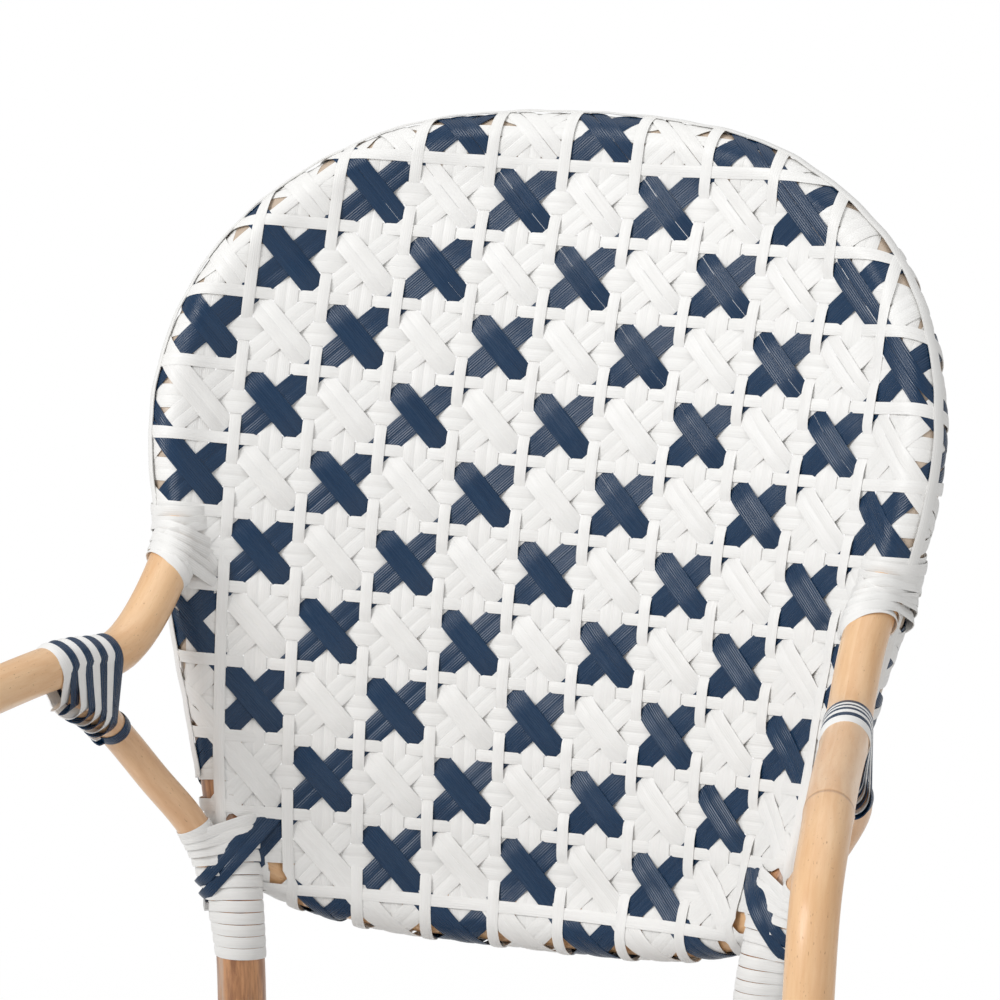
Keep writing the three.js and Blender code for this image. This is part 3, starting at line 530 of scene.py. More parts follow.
def armPoints():
    middle = backShape["height"]
    bendTop = middle - frameShape["armDrop"]
    level = placesOf(armPlace, armLevelShares, middle, -frameShape["armDrop"])
    bend = placesOf(armPlace, armBendShares, bendTop, -frameShape["armBendDrop"])
    leg = placesOf(armPlace, frontLegShares, 0, frameShape["seatHeight"])
    return [backPoleAt(middle + frameShape["armJointRise"])] + level + bend + leg


arm = pathOf(armPoints(), frameShape["armRadius"])
armBendRun = frameShape["armBendShare"] * arm.length


def armRunAtReach(reach):
    return arm.runWhere(1, planY(reach), 0, armBendRun)


def frontLegAt(height):
    return arm.at(arm.runWhere(2, height, armBendRun, arm.length))


lapDirection = unit(np.array([0.85, -0.53, 0]))
upright = np.array([0.0, 0, 1])
sides = {"left": 1, "right": -1}


def bracePoints():
    middle = backShape["height"]
    top = arm.at(armRunAtReach(frameShape["braceTopReach"]))
    top[2] -= frameShape["armRadius"] + frameShape["braceRadius"] + frameShape["braceTopSlack"]
    lap = arm.at(armRunAtReach(frameShape["braceLapReach"]))
    lap[2] -= frameShape["braceEntryDepth"]
    points = [lap, top] + placesOf(armPlace, braceMiddleShares, middle, -frameShape["braceDrop"])
    for drop, offset in braceLapShares:
        onPole = backPoleAt(middle - drop * frameShape["braceDrop"])
        points.append(onPole + lapDirection * offset * frameShape["backRadius"])
    return points


brace = pathOf(bracePoints(), frameShape["braceRadius"])
railEnd = backPoleAt(backShape["height"] - frameShape["railEndDrop"] * backShape["halfHeight"])
leftRail = [railEnd] + [outlinePlace(*shares) for shares in railShares]
rail = pathOf(leftRail + [mirrored(point) for point in leftRail[-2::-1]], frameShape["railRadius"])


# Round poles

poleDetail = {
    "sides": 36, "step": 5, "knotPitch": 310, "knotSwell": 0.35, "knotHalfLength": 5, "endEase": 0.8,
}


def sidesOf(path, tangents, reference):
    # Directions square to the path, carried along an open one without twisting
    side = np.array(reference, float)
    if path.closed:
        return unit(side - tangents * dot(tangents, side))
    carried = []
    for tangent in tangents:
        side = unit(side - tangent * side.dot(tangent))
        carried.append(side)
    return np.array(carried)


def makePole(name, slotName, node, path, start=0.0, end=None, reference=(0, 0, 1), tone=0.5):
    end, eased = path.length if end is None else end, poleDetail["endEase"]
    if path.closed:
        runs = path.even(poleDetail["step"])[:-1]
    else:
        runs = np.concatenate([[start], path.even(poleDetail["step"], start + eased, end - eased), [end]])
    tangents = path.tangentAt(runs)
    first = sidesOf(path, tangents, reference)
    second = np.cross(tangents, first)
    angles = np.linspace(0, 2 * math.pi, poleDetail["sides"], endpoint=False)
    knotPlace = np.abs(((runs / poleDetail["knotPitch"] + tone * rattanFinish["knotShift"]) % 1) - 0.5)
    knotPlace = knotPlace * poleDetail["knotPitch"]
    swell = poleDetail["knotSwell"] * np.exp(-(knotPlace / poleDetail["knotHalfLength"]) ** 2)
    radii = path.radius + swell
    if not path.closed:
        radii[[0, -1]] -= eased
    ring = np.cos(angles)[None, :, None] * first[:, None] + np.sin(angles)[None, :, None] * second[:, None]
    points = path.at(runs)[:, None] + ring * radii[:, None, None]
    along = np.concatenate([runs, [path.length]]) * mm
    across = np.linspace(0, 2 * math.pi * path.radius, poleDetail["sides"] + 1) * mm
    stock = MeshStock()
    stock.addGrid(points, along, across, tone, path.closed)
    makePiece(stock, name, slotName, node)


def mirroredPath(path):
    return Path(mirrored(path.points), path.radius)


poleStarts = {"rail": 8, "arm": 4, "brace": 30}  # a brace's first part lies hidden in its binding
hoopEnd = backRunAt(frameShape["glideHeight"])
makePole(
    "backPole", "bark_rattan", "back_hoop_and_rear_legs", backPole,
    start=backPole.length - hoopEnd, end=hoopEnd, tone=0.31,
)
makePole(
    "backRail", "peeled_rattan", "back_bottom_rail", rail,
    start=poleStarts["rail"], end=rail.length - poleStarts["rail"], tone=0.62,
)
armFoot = arm.runWhere(2, frameShape["glideHeight"], armBendRun, arm.length)
for sideName, armPath, bracePath, tone in (
    ("left", arm, brace, 0.18), ("right", mirroredPath(arm), mirroredPath(brace), 0.83),
):
    title = sideName.capitalize()
    makePole(
        "arm" + title, "peeled_rattan", "arm_and_front_leg_" + sideName, armPath,
        start=poleStarts["arm"], end=armFoot, tone=tone,
    )
    makePole(
        "brace" + title, "pale_rattan", "arm_brace_" + sideName, bracePath,
        start=poleStarts["brace"], tone=1 - tone,
    )
print("back, arms and braces made")


# Woven sheets: flat strips over and under each other, pulled round the border pole

weavePattern = {
    "pitch": 36, "stepsPerCell": 12, "halfWidth": 2.9, "crown": 0.28, "thickness": 0.42,
    "diagonalHalfWidth": 3.12, "pairOffset": 0.078, "diagonalOffset": 0.0832, "liftReach": 20,
    "wrapDegrees": 262, "wrapStep": 2.6, "steepDegrees": 66, "steepRun": 26, "edgeReach": 7,
    "looseness": 0.12, "straightReach": 5, "rim": 12, "longestTail": 140, "leastSlant": 0.1,
    "poleClearance": 4, "turnSlack": 0.3, "diagonalSteps": 1.3,
}
# Height at a cell's middle and at its end, where along the half cell it goes from one to the other,
# and the height on the pole
stripHeights = {
    "thinUpright": (-0.3, 1.45, 0.13, 0.3, 2.1), "thinCrossing": (-0.3, 0.75, 0.13, 0.3, 1.76),
    "wideUpright": (-0.2, 0.5, 0.25, 0.44, 0.4), "wideCrossing": (-0.9, 0.5, 0.2, 0.44, 0.74),
    "falling": (1.6, -1.15, 0.14, 0.47, 1.42), "rising": (0.85, -0.3, 0.14, 0.46, 1.08),
}


class Border:
    def __init__(self, outline, axis, poleRadius, sheet):
        # The outline runs counter-clockwise in the sheet's flat coordinates
        self.path = Path(outline, closed=True)
        self.poleRadius = poleRadius
        flat = self.path.points
        tangents = self.path.tangents
        self.inward = np.stack([-tangents[:, 1], tangents[:, 0]], -1)
        axis = np.vstack([axis, axis[:1]])
        onSheet = sheet.place(flat)
        facing = sheet.facing(flat)
        run = Path(axis[:-1], closed=True).tangents
        front = unit(facing - run * dot(facing, run))
        outward = np.cross(run, front)
        inwardSide = sheet.place(flat + self.inward) - onSheet
        outward *= -np.sign(dot(outward, inwardSide))
        self.tables = {
            "axis": axis, "front": front, "outward": outward,
            "gap": dot(onSheet - axis, facing), "inward": self.inward, "along": tangents,
        }

    def look(self, name, run):
        table = self.tables[name]
        value = self.path.look(table, run)
        return value if name in ("axis", "gap") else unit(value)

    def locate(self, flat):
        points = self.path.points[:-1]
        far = ((flat[:, None] - points[None]) ** 2).sum(-1)
        nearest = far.argmin(1)
        offset = flat - points[nearest]
        depth = (offset * self.inward[nearest]).sum(-1)
        run = self.path.runs[nearest] + (offset * self.path.tangents[nearest]).sum(-1)
        distance = np.sqrt(far.min(1))
        return np.where(np.abs(depth) > weavePattern["rim"], np.sign(depth) * distance, depth), run


class Sheet:
    def __init__(self, place, flatOf):
        self.place = place
        self.flatOf = flatOf
        self.border = None

    def slopes(self, flat):
        return [self.place(flat + way) - self.place(flat - way) for way in np.eye(2) / 2]

    def facing(self, flat):
        return unit(np.cross(*self.slopes(flat)))


def borderOf(outline, axis, poleRadius, sheet):
    # Slides the outline to where the sheet lies squarely over the pole's axis
    flat = np.array(outline, float)
    for _ in range(14):
        missing = axis - sheet.place(flat)
        for k, slope in enumerate(sheet.slopes(flat)):
            flat[:, k] += (missing * slope).sum(-1) / (slope * slope).sum(-1)
    return Border(flat, axis, poleRadius, sheet)


def wrapEnd(depth, run, towardsBorder, alongBorder, radius):
    # Goes on from the sheet's edge round the pole, turning square to it
    detail = weavePattern
    angle = math.atan2(towardsBorder, abs(alongBorder))
    sense = math.copysign(1, alongBorder)
    steep = max(angle, math.radians(detail["steepDegrees"]))
    rows, travelled = [], 0.0
    while depth > -radius * math.radians(detail["wrapDegrees"]) and travelled < detail["longestTail"]:
        share = float(smoothStep(travelled / detail["steepRun"]))
        here = angle + (steep - angle) * share
        depth -= math.sin(here) * detail["wrapStep"]
        run += sense * math.cos(here) * detail["wrapStep"]
        travelled += detail["wrapStep"]
        rows.append((depth, run, -math.sin(here), sense * math.cos(here)))
    return np.array(rows)


def sectionOf(halfWidth, crown, thickness):
    top = [(-1, 0), (-0.7, 0.62), (0, 1), (0.7, 0.62), (1, 0)]
    section = [(x * halfWidth, z * crown) for x, z in top]
    return np.array(section + [(0.93 * halfWidth, -thickness), (-0.93 * halfWidth, -thickness)])


def runRound(section):
    return Path(section, closed=True).runs


stripSection, diagonalSection = (
    sectionOf(weavePattern[key], weavePattern["crown"], weavePattern["thickness"])
    for key in ("halfWidth", "diagonalHalfWidth")
)


def pulledRise(curve, depths, gap, onTube):
    # Round the pole first, then straight to where the strip lies in the sheet
    reach = weavePattern["liftReach"] + np.maximum(onTube - gap - weavePattern["poleClearance"], 0)
    over = curve + gap
    lean = np.arctan2(reach, over) - np.arccos(np.clip(onTube / np.hypot(reach, over), -1, 1))
    lean = np.maximum(lean, 0)
    touch, top = onTube * np.sin(lean), onTube * np.cos(lean) - gap
    straight = top + (curve - top) * (depths - touch) / (reach - touch)
    onPole = np.sqrt(np.maximum(onTube ** 2 - np.maximum(depths, 0) ** 2, 0)) - gap
    return np.where(depths < touch, onPole, np.where(depths < reach, straight, curve))


def addWovenStrip(stock, sheet, cells, places, heights, section, cut=None):
    # A strip that is cut short ends in the sheet, under the strips that cross it
    border = sheet.border
    detail = weavePattern
    if cut:
        kept = (cells[:, 0] > cut[0]) & (cells[:, 0] < cut[1])
        cells, places = cells[kept], places[kept]
    flat = sheet.flatOf(cells)
    depth, run = border.locate(flat)
    inside = np.flatnonzero(depth > -detail["edgeReach"])
    if len(inside) < 4:
        return
    headWraps, tailWraps = inside[0] > 0, inside[-1] < len(depth) - 1
    keep = slice(inside[0], inside[-1] + 1)
    flat, depth, run, places = flat[keep], depth[keep], run[keep], places[keep]
    heading = unit(np.gradient(flat, axis=0))
    towards = (heading * border.look("inward", run)).sum(-1)
    along = (heading * border.look("along", run)).sum(-1)
    rows = np.column_stack([depth, run, towards, along])
    radius = border.poleRadius + heights[4]
    tail = wrapEnd(depth[-1], run[-1], max(-towards[-1], detail["leastSlant"]), along[-1], radius)
    head = wrapEnd(depth[0], run[0], max(towards[0], detail["leastSlant"]), -along[0], radius)
    head[:, 2:] *= -1
    head, tail = head[:len(head) * headWraps], tail[:len(tail) * tailWraps]
    rows = np.vstack([head[::-1], rows, tail])
    count, first, last = len(rows), len(head), len(head) + len(flat)
    depth, run, towards, along = rows.T
    curve = np.empty(count)
    curve[first:last] = heightAlong(places, heights)
    curve[:first] = curve[first]
    curve[last:] = curve[last - 1]
    step = np.full(count, float(detail["wrapStep"]))
    step[0] = 0
    step[first + 1:last] = np.linalg.norm(np.diff(flat, axis=0), axis=1)
    length = np.cumsum(step)
    side = section[:, 0]
    depths = depth[:, None] + along[:, None] * side
    runs = run[:, None] - towards[:, None] * side
    onTube = border.poleRadius + heights[4] + detail["looseness"] * float(rng.random())
    gap = border.look("gap", runs)[..., 0]
    rise = pulledRise(curve[:, None], depths, gap, onTube) + section[:, 1]
    flats = border.path.at(runs) + border.look("inward", runs) * np.maximum(depths, 0)[..., None]
    square = np.stack([-heading[:, 1], heading[:, 0]], -1)
    straight = flat[:, None] + square[:, None] * side[None, :, None]
    share = smoothStep((depth[first:last, None, None] - 1) / detail["straightReach"])
    flats[first:last] += (straight - flats[first:last]) * share
    points = sheet.place(flats) + sheet.facing(flats) * rise[..., None]
    turn = np.maximum(-depths, 0) / (onTube + detail["turnSlack"])
    reach = (gap + rise)[..., None]
    front, outward = border.look("front", runs), border.look("outward", runs)
    radial = np.cos(turn)[..., None] * front + np.sin(turn)[..., None] * outward
    wrapped = border.look("axis", runs) + reach * radial
    points = np.where((depths < 0)[..., None], wrapped, points)
    stock.addGrid(points, length * mm, runRound(section) * mm, float(rng.random()))


def heightAlong(places, heights):
    middle, end, leave, arrive, _ = heights
    fromMiddle = np.abs(places - np.round(places))
    return middle + (end - middle) * smoothStep((fromMiddle - leave) / (arrive - leave))


def weaveSheet(title, sheet, columns, rows, nodeName, isNavy, cuts={}):
    offset = weavePattern["pairOffset"]
    diagonalOffset = weavePattern["diagonalOffset"] * math.sqrt(2)
    stocks = {key: MeshStock() for key in ("Uprights", "Crossings", "WhiteDiagonals", "NavyDiagonals")}
    strips = (("thin", 0.5), ("wide", -offset), ("wide", offset))
    reach = max(columns, rows) + 3
    t = np.arange(-reach, reach, 1 / weavePattern["stepsPerCell"])
    diagonalSteps = weavePattern["diagonalSteps"] * weavePattern["stepsPerCell"]
    diagonal = np.arange(-reach, reach, 1 / diagonalSteps)
    middle = (rows - 1) / 2
    half = columns // 2 + 2
    for column in range(-half, half):
        for width, shift in strips:
            addWovenStrip(
                stocks["Uprights"], sheet, np.stack([0 * t + column + shift, t + middle], -1), t + middle,
                stripHeights[width + "Upright"], stripSection,
            )
    for row in range(-2, rows + 2):
        for width, shift in strips:
            addWovenStrip(
                stocks["Crossings"], sheet, np.stack([t, 0 * t + row + shift], -1), t,
                stripHeights[width + "Crossing"], stripSection,
            )
    for line in range(-columns - rows, columns + rows + 1):
        key = "NavyDiagonals" if isNavy(line) else "WhiteDiagonals"
        for shift in (-diagonalOffset, diagonalOffset):
            ways = {
                "falling": np.stack([diagonal + shift / 2, diagonal - line - shift / 2], -1),
                "rising": np.stack([diagonal + shift / 2, line - diagonal + shift / 2], -1),
            }
            for way, cells in ways.items():
                addWovenStrip(
                    stocks[key], sheet, cells, diagonal, stripHeights[way], diagonalSection,
                    cuts.get((way, line)),
                )
    for key, stock in stocks.items():
        makePiece(stock, title + key, "navy_strip" if key == "NavyDiagonals" else "white_strip", nodeName)


backLattice = {"middleRow": 5.5, "tallness": 1.0174, "narrowing": 0.0077, "lean": 0.0213, "bend": 0.0063}


def backCells(cells):
    # The lattice narrows a little towards the bottom and leans a little
    i, j = cells[..., 0], cells[..., 1] - backLattice["middleRow"]
    up = -j * backLattice["tallness"]
    across = i * (1 - backLattice["narrowing"] * j)
    across = across + backLattice["lean"] * up + backLattice["bend"] * up * up
    return np.stack([across, up], -1) * weavePattern["pitch"]


def loopOf(half):
    # Closed loop from its left half, which starts and ends on the middle line
    return half + [(-x, *rest) for x, *rest in half[-2:0:-1]]


def backBorderAxis(step=2.5, softening=5):
    # Down the hoop to the rail's end and along the rail, with the corner between them eased
    hoopHalf = backPole.at(np.linspace(backPole.length / 2, backRunAt(railEnd[2]), 200))
    railHalf = rail.at(np.linspace(0, rail.length / 2, 100))
    half = np.vstack([hoopHalf, railHalf[1:]])
    loop = Path(np.vstack([half, mirrored(half[-2:0:-1])]), closed=True)
    points = loop.at(loop.even(step)[:-1])
    for _ in range(2):
        points = sum(np.roll(points, k, 0) for k in range(-softening, softening + 1)) / (2 * softening + 1)
    return points[::-1]


backWeave = Sheet(backSheet, backCells)
backAxis = backBorderAxis()
# A first guess at the outline, which borderOf corrects
backRise = (backAxis[:, 2] - backShape["height"]) / math.cos(math.radians(backShape["lean"]))
backFlat = np.column_stack([backAxis[:, 0] * 1.02, backRise])
backWeave.border = borderOf(backFlat, backAxis, frameShape["backRadius"], backWeave)
# In the two bottom corners the frame's lashing takes the place of a diagonal
backCuts = {("falling", -14): (-3.5, 9), ("rising", 14): (-9, 3.5)}
weaveSheet("back", backWeave, 11, 12, "back_weave", lambda line: line % 2 == 0, backCuts)
print("back woven")


# Cover strip that runs along the hoop over the ends of the weave

edgeStrip = {
    "turnDegrees": 76, "halfWidth": 2.9, "crown": 0.5, "thickness": 0.5, "lift": 2.3, "endHeight": 591,
    "step": 4, "waves": ((0.18, 5.3, 0), (0.14, 3.1, 1)),  # size, length and shift of each wave
}


def makeEdgeStrip():
    border = backWeave.border
    section = sectionOf(edgeStrip["halfWidth"], edgeStrip["crown"], edgeStrip["thickness"])
    runs = border.path.even(edgeStrip["step"])[:-1]
    high = border.look("axis", runs)[:, 2] > edgeStrip["endHeight"]
    start = np.flatnonzero(high & ~np.roll(high, 1))[0]
    runs = runs[start] + np.arange(high.sum()) * (runs[1] - runs[0])
    turn = math.radians(edgeStrip["turnDegrees"])
    front, outward = border.look("front", runs), border.look("outward", runs)
    radial = front * math.cos(turn) + outward * math.sin(turn)
    sideways = outward * math.cos(turn) - front * math.sin(turn)
    wave = sum(size * np.sin(runs / length + shift) for size, length, shift in edgeStrip["waves"])
    reach = (border.poleRadius + edgeStrip["lift"] + wave)[:, None, None] + section[None, :, 1:2]
    points = border.look("axis", runs)[:, None] + radial[:, None] * reach
    points = points + sideways[:, None] * section[None, :, :1]
    stock = MeshStock()
    stock.addGrid(points, (runs - runs[0]) * mm, runRound(section) * mm, 0.3)
    makePiece(stock, "edgeStrip", "white_strip", "back_edge_strip")


makeEdgeStrip()


# Windings: flat strip pulled round one pole or several

winding = {"halfWidth": 2.95, "crown": 0.3, "thickness": 0.4, "lift": 0.55, "stepsPerTurn": 44}


def hullPlace(poles, along, reference, angle, lift):
    # Where a strip pulled tight round all the poles lies at the angle
    first = unit(reference - along * reference.dot(along))
    outward = first * math.cos(angle) + np.cross(along, first) * math.sin(angle)
    touches = []
    for centre, axis, radius in poles:
        tilt = axis - along * axis.dot(along)
        spread = 1 - tilt.dot(tilt)
        lean = tilt.dot(outward)
        reach = (outward + tilt * lean / spread) * (radius + lift) / math.sqrt(1 + lean * lean / spread)
        touches.append((centre + reach, axis))
    place, axis = max(touches, key=lambda touch: touch[0].dot(outward))
    return place, outward, unit(axis - outward * axis.dot(outward))


def addWinding(
    stock, turns, stationAt, side=1, halfWidth=winding["halfWidth"], lift=winding["lift"], startTurn=0.0,
    tone=0.5, spread=0.0, slanting=False,
):
    # The strip is wider by the spread where it turns on the side that the station's reference points to;
    # a slanting one lies square to its own run instead of along the pole
    section = sectionOf(halfWidth, winding["crown"], winding["thickness"])
    shares = np.linspace(0, 1, int(turns * winding["stepsPerTurn"]) + 1)
    angles = 2 * math.pi * (startTurn + turns * shares)
    rows = [hullPlace(*stationAt(share), angle, lift) for share, angle in zip(shares, angles)]
    places, outwards, lyings = (np.array(column) for column in zip(*rows))
    if slanting:
        lyings = unit(np.cross(np.gradient(places, axis=0), outwards))
    widths = 1 + spread * (1 + np.cos(angles)) / 2
    across = section[None, :, :1] * widths[:, None, None]
    points = places[:, None] + lyings[:, None] * across + outwards[:, None] * section[None, :, 1:2]
    if side < 0:
        points = mirrored(points)
    stock.addGrid(points, Path(points[:, 2]).runs * mm, runRound(section) * mm, tone)


bracePair = {
    "turns": 4, "backReach": 121, "frontReach": 171, "braceStart": 0.035, "braceEnd": 0.295, "spread": 0.75,
    "endRadius": 3.5, "fullAt": 0.3,  # the bands close over the brace's end
    "tailTurns": 1.1, "tailRun": 7, "tailLead": 2.1, "tailHalfWidth": 3.3,
}
poleBinding = {"turns": 5.6, "topDrop": 1.234, "bottomDrop": 1.457, "halfWidth": 2.8}
armJoint = {
    "hoopRadius": 14.6, "pitch": 5.7, "startTurn": 0.45, "reference": np.array((0, -1, 0.3)),
    "cuffFrom": 30, "cuffTo": 38, "cuffTurns": 2.1, "cuffWay": unit(np.array((0.455, -0.735, -0.502))),
    "cuffHalfWidth": 3.1, "farthestOnArm": 80,
}
# Way square to the loop, distance down the hoop from the arm's end, turns and lift
jointLoops = [
    ((0.28, -0.52, -0.807), 27, 2.1, 1.3), ((0.155, -0.455, -0.876), 15, 2.1, 0.9),
    ((-0.145, -0.19, -0.97), 4, 1.1, 0.7), ((-0.368, -0.103, -0.924), 8, 1.1, 0.5),
    ((-0.1, -0.15, -0.98), -1.5, 1.1, 0.6),
]
cornerFan = {
    "ringShare": 0.675, "ringTurns": 1.15, "ringPitch": 3, "top": 575, "bottom": 537, "turns": 7,
    "straight": 0.4, "straighten": 1.6, "braceShare": 0.72, "lift": 0.5,
    "postRadii": ((539, 558), (11.7, 14.6)), "reference": np.array((0.3, 1, 0)),
}
cornerLashing = {
    "way": unit(np.array((0.754, -0.095, 0.65))), "height": 557, "cell": (3.5, 9.5), "spread": 2.8,
    "postRadius": 14.7, "braceRadius": 8.6, "threadRadius": 1.0, "depth": 2.6, "turns": 1.12, "lift": 1.0,
    "pitch": 1.2,
}


def bracePairStation(offset):
    lead = 1 / (bracePair["turns"] + 0.5)
    near, far = armRunAtReach(bracePair["frontReach"]), armRunAtReach(bracePair["backReach"])

    def station(share):
        place = offset * lead + share * bracePair["turns"] * lead
        onArm = arm.pole(between(near, far, place), -1)
        braceShare = between(bracePair["braceStart"], bracePair["braceEnd"], place)
        radius = between(bracePair["endRadius"], brace.radius, min(1, place / bracePair["fullAt"]))
        onBrace, braceWay, _ = brace.pole(braceShare * brace.length)
        reference = unit(onBrace - onArm[0])
        mean = onArm[1] + braceWay
        along = unit(mean - reference * mean.dot(reference))
        return [onArm, (onBrace, braceWay, radius)], along, reference
    return station


def stationOn(path, start, end, reference, way=None):
    # Round one pole alone, from one run along it to another
    def station(share):
        here = path.pole(between(start, end, share))
        return [here], here[1] if way is None else way, reference
    return station


def poleBindingStation(share):
    drop = between(poleBinding["topDrop"], poleBinding["bottomDrop"], share)
    height = backShape["height"] - drop * frameShape["braceDrop"]
    poles = [backPole.pole(backRunAt(height))]
    if height > brace.points[-1][2]:
        poles.append(brace.pole(brace.runWhere(2, height, 0, brace.length)))
    return poles, poles[0][1], lapDirection


def braceRunMeeting(point, way):
    return brace.runMeeting(point, way, brace.length / 2, brace.length)


def jointStation(way, drop, turns):
    way = unit(np.array(way))
    top = backRunAt(backShape["height"] + frameShape["armJointRise"])

    def station(share):
        hoopRun = top + drop + (share - 0.5) * turns * armJoint["pitch"]
        onHoop, hoopWay, _ = backPole.pole(hoopRun)
        poles = [(onHoop, hoopWay, armJoint["hoopRadius"])]
        armRun = arm.runMeeting(onHoop, way, 0, armJoint["farthestOnArm"])
        if armRun > 0.5:
            poles.append(arm.pole(armRun))
        return poles, way, armJoint["reference"]
    return station


def fanStation(share):
    # From square to the brace to square to the post
    height = between(cornerFan["top"], cornerFan["bottom"], share)
    place, postWay, _ = backPole.pole(backRunAt(height))
    radius = float(np.interp(height, *cornerFan["postRadii"]))
    braceWay = brace.tangentAt(cornerFan["braceShare"] * brace.length)
    turned = between(cornerFan["straight"], 1, min(1, share * cornerFan["straighten"]))
    way = unit(braceWay * (1 - turned) + postWay * turned)
    poles = [(place, postWay, radius), brace.pole(braceRunMeeting(place, way))]
    return poles, way, cornerFan["reference"]


def lashingStation(offset):
    # Round the post, the brace and a thread behind the sheet's thin strips
    detail = cornerLashing
    way = detail["way"]
    postRun = backRunAt(detail["height"])
    middle = backPole.at(postRun) + way * offset
    flat = backCells(np.array([detail["cell"]]))
    thread = (backSheet(flat) - backWeave.facing(flat) * detail["depth"])[0]
    thread = thread - way * (thread - middle).dot(way)
    braceRun = braceRunMeeting(middle, -way)

    def station(share):
        shift = way * (share - 0.5) * detail["pitch"]
        poles = [
            (middle + shift, backPole.tangentAt(postRun), detail["postRadius"]),
            (brace.at(braceRun) + shift, brace.tangentAt(braceRun), detail["braceRadius"]),
            (thread + shift, way, detail["threadRadius"]),
        ]
        return poles, way, armJoint["reference"]
    return station


def makeBindings(title, sideName, side):
    for colour, offset in (("white", 0), ("navy", 0.5)):
        stock = MeshStock()
        addWinding(
            stock, bracePair["turns"], bracePairStation(offset), side, tone=float(rng.random()),
            spread=bracePair["spread"],
        )
        if colour == "navy":
            # Its last turn goes round the brace alone
            start = bracePair["braceEnd"] * brace.length + bracePair["tailLead"]
            tail = stationOn(brace, start, start + bracePair["tailRun"], upright)
            addWinding(
                stock, bracePair["tailTurns"], tail, side, halfWidth=bracePair["tailHalfWidth"], tone=0.4,
            )
        node = "brace_binding_" + colour + "_" + sideName
        makePiece(stock, colour + "BraceBinding" + title, colour + "_strip", node)
    stock = MeshStock()
    addWinding(stock, poleBinding["turns"], poleBindingStation, side, halfWidth=poleBinding["halfWidth"])
    makePiece(stock, "postBinding" + title, "white_strip", "rear_post_binding_" + sideName)


def makeArmJoint(title, sideName, side):
    stock = MeshStock()
    cuff = stationOn(
        arm, armJoint["cuffFrom"], armJoint["cuffTo"], armJoint["reference"], armJoint["cuffWay"],
    )
    addWinding(
        stock, armJoint["cuffTurns"], cuff, side, halfWidth=armJoint["cuffHalfWidth"],
        startTurn=armJoint["startTurn"], tone=0.3,
    )
    for way, drop, turns, lift in jointLoops:
        addWinding(
            stock, turns, jointStation(way, drop, turns), side, lift=lift, startTurn=armJoint["startTurn"],
            tone=float(rng.random()),
        )
    makePiece(stock, "armBinding" + title, "white_strip", "arm_binding_" + sideName)


def makeCorner(title, side):
    stock = MeshStock()
    start = cornerFan["ringShare"] * brace.length
    ring = stationOn(brace, start, start + cornerFan["ringPitch"], cornerFan["reference"])
    addWinding(stock, cornerFan["ringTurns"], ring, side, tone=0.6)
    addWinding(stock, cornerFan["turns"], fanStation, side, lift=cornerFan["lift"], tone=0.2)
    makePiece(stock, "cornerFan" + title, "white_strip")
    stock = MeshStock()
    for offset in (-cornerLashing["spread"], cornerLashing["spread"]):
        addWinding(
            stock, cornerLashing["turns"], lashingStation(offset), side, lift=cornerLashing["lift"],
            startTurn=armJoint["startTurn"], tone=float(rng.random()), slanting=True,
        )
    makePiece(stock, "cornerLashing" + title, "navy_strip")


for sideName, side in sides.items():
    title = sideName.capitalize()
    makeBindings(title, sideName, side)
    makeArmJoint(title, sideName, side)
    makeCorner(title, side)
print("bindings made")


# Seat: ring, cross bars, arches and weave

seatShape = {
    "weaveWrap": 2.4, "rearSetback": 80, "frontOverhang": 152, "rearBow": 0.14, "housing": 1.5,
    "sheetRise": 9.5, "dish": 6, "frontBarInset": 7, "rearBarSetback": 185, "crownToBarGap": 20,
    "crownLength": 26, "lapBottom": 185, "lapTop": 245, "quarterSteps": 6,
    "legBindingBottom": 192, "legBindingTop": 228, "legBindingTurns": 6, "crownTurns": 4,
    "barEndDepth": 0.6,
}
seatSideShares = [(0.36, 0.27), (0.08, 0.63)]
seatFrontShares = [(0.89, 0.49), (0.6, 0.84)]
ringHeight = frameShape["seatHeight"] - frameShape["ringRadius"] - seatShape["weaveWrap"]
rearContactWay = unit(np.array([-0.62, -0.78, 0]))
rearContact = backPoleAt(ringHeight) + rearContactWay * (
    frameShape["backRadius"] + frameShape["ringRadius"] - seatShape["housing"]
)
frontContact = frontLegAt(ringHeight) - np.array([
    frameShape["armRadius"] + frameShape["ringRadius"] - seatShape["housing"], 0, 0,
])


def seatHalf():
    rear, front = planY(rearContact[1]), planY(frontContact[1])
    rearEnd, frontEnd = seatShape["rearSetback"], frameShape["armReach"] + seatShape["frontOverhang"]
    bowed = between(rearEnd, rear, seatShape["rearBow"])
    places = [(0, rearEnd), (rearContact[0] / 2, bowed), (rearContact[0], rear)]
    for inShare, along in seatSideShares:
        places.append((between(frontContact[0], rearContact[0], inShare), between(rear, front, along)))
    places.append((frontContact[0], front))
    for width, along in seatFrontShares:
        places.append((width * frontContact[0], between(front, frontEnd, along)))
    places.append((0, frontEnd))
    return [(x, planY(setback)) for x, setback in places]


seatFlat = smoothCurve(loopOf(seatHalf()), 40, True)[::-1]
seatAxis = np.column_stack([seatFlat, np.full(len(seatFlat), ringHeight)])
seatRing = Path(seatAxis, frameShape["ringRadius"], True)
seatHalfWidth, seatBack = seatFlat.max(0)
seatFront = seatFlat[:, 1].min()
seatMiddle, seatHalfDepth = (seatBack + seatFront) / 2, (seatBack - seatFront) / 2


def seatHalfWidthAt(y):
    right = seatFlat[seatFlat[:, 0] > 0]
    order = right[:, 1].argsort()
    return float(np.interp(y, right[order, 1], right[order, 0]))


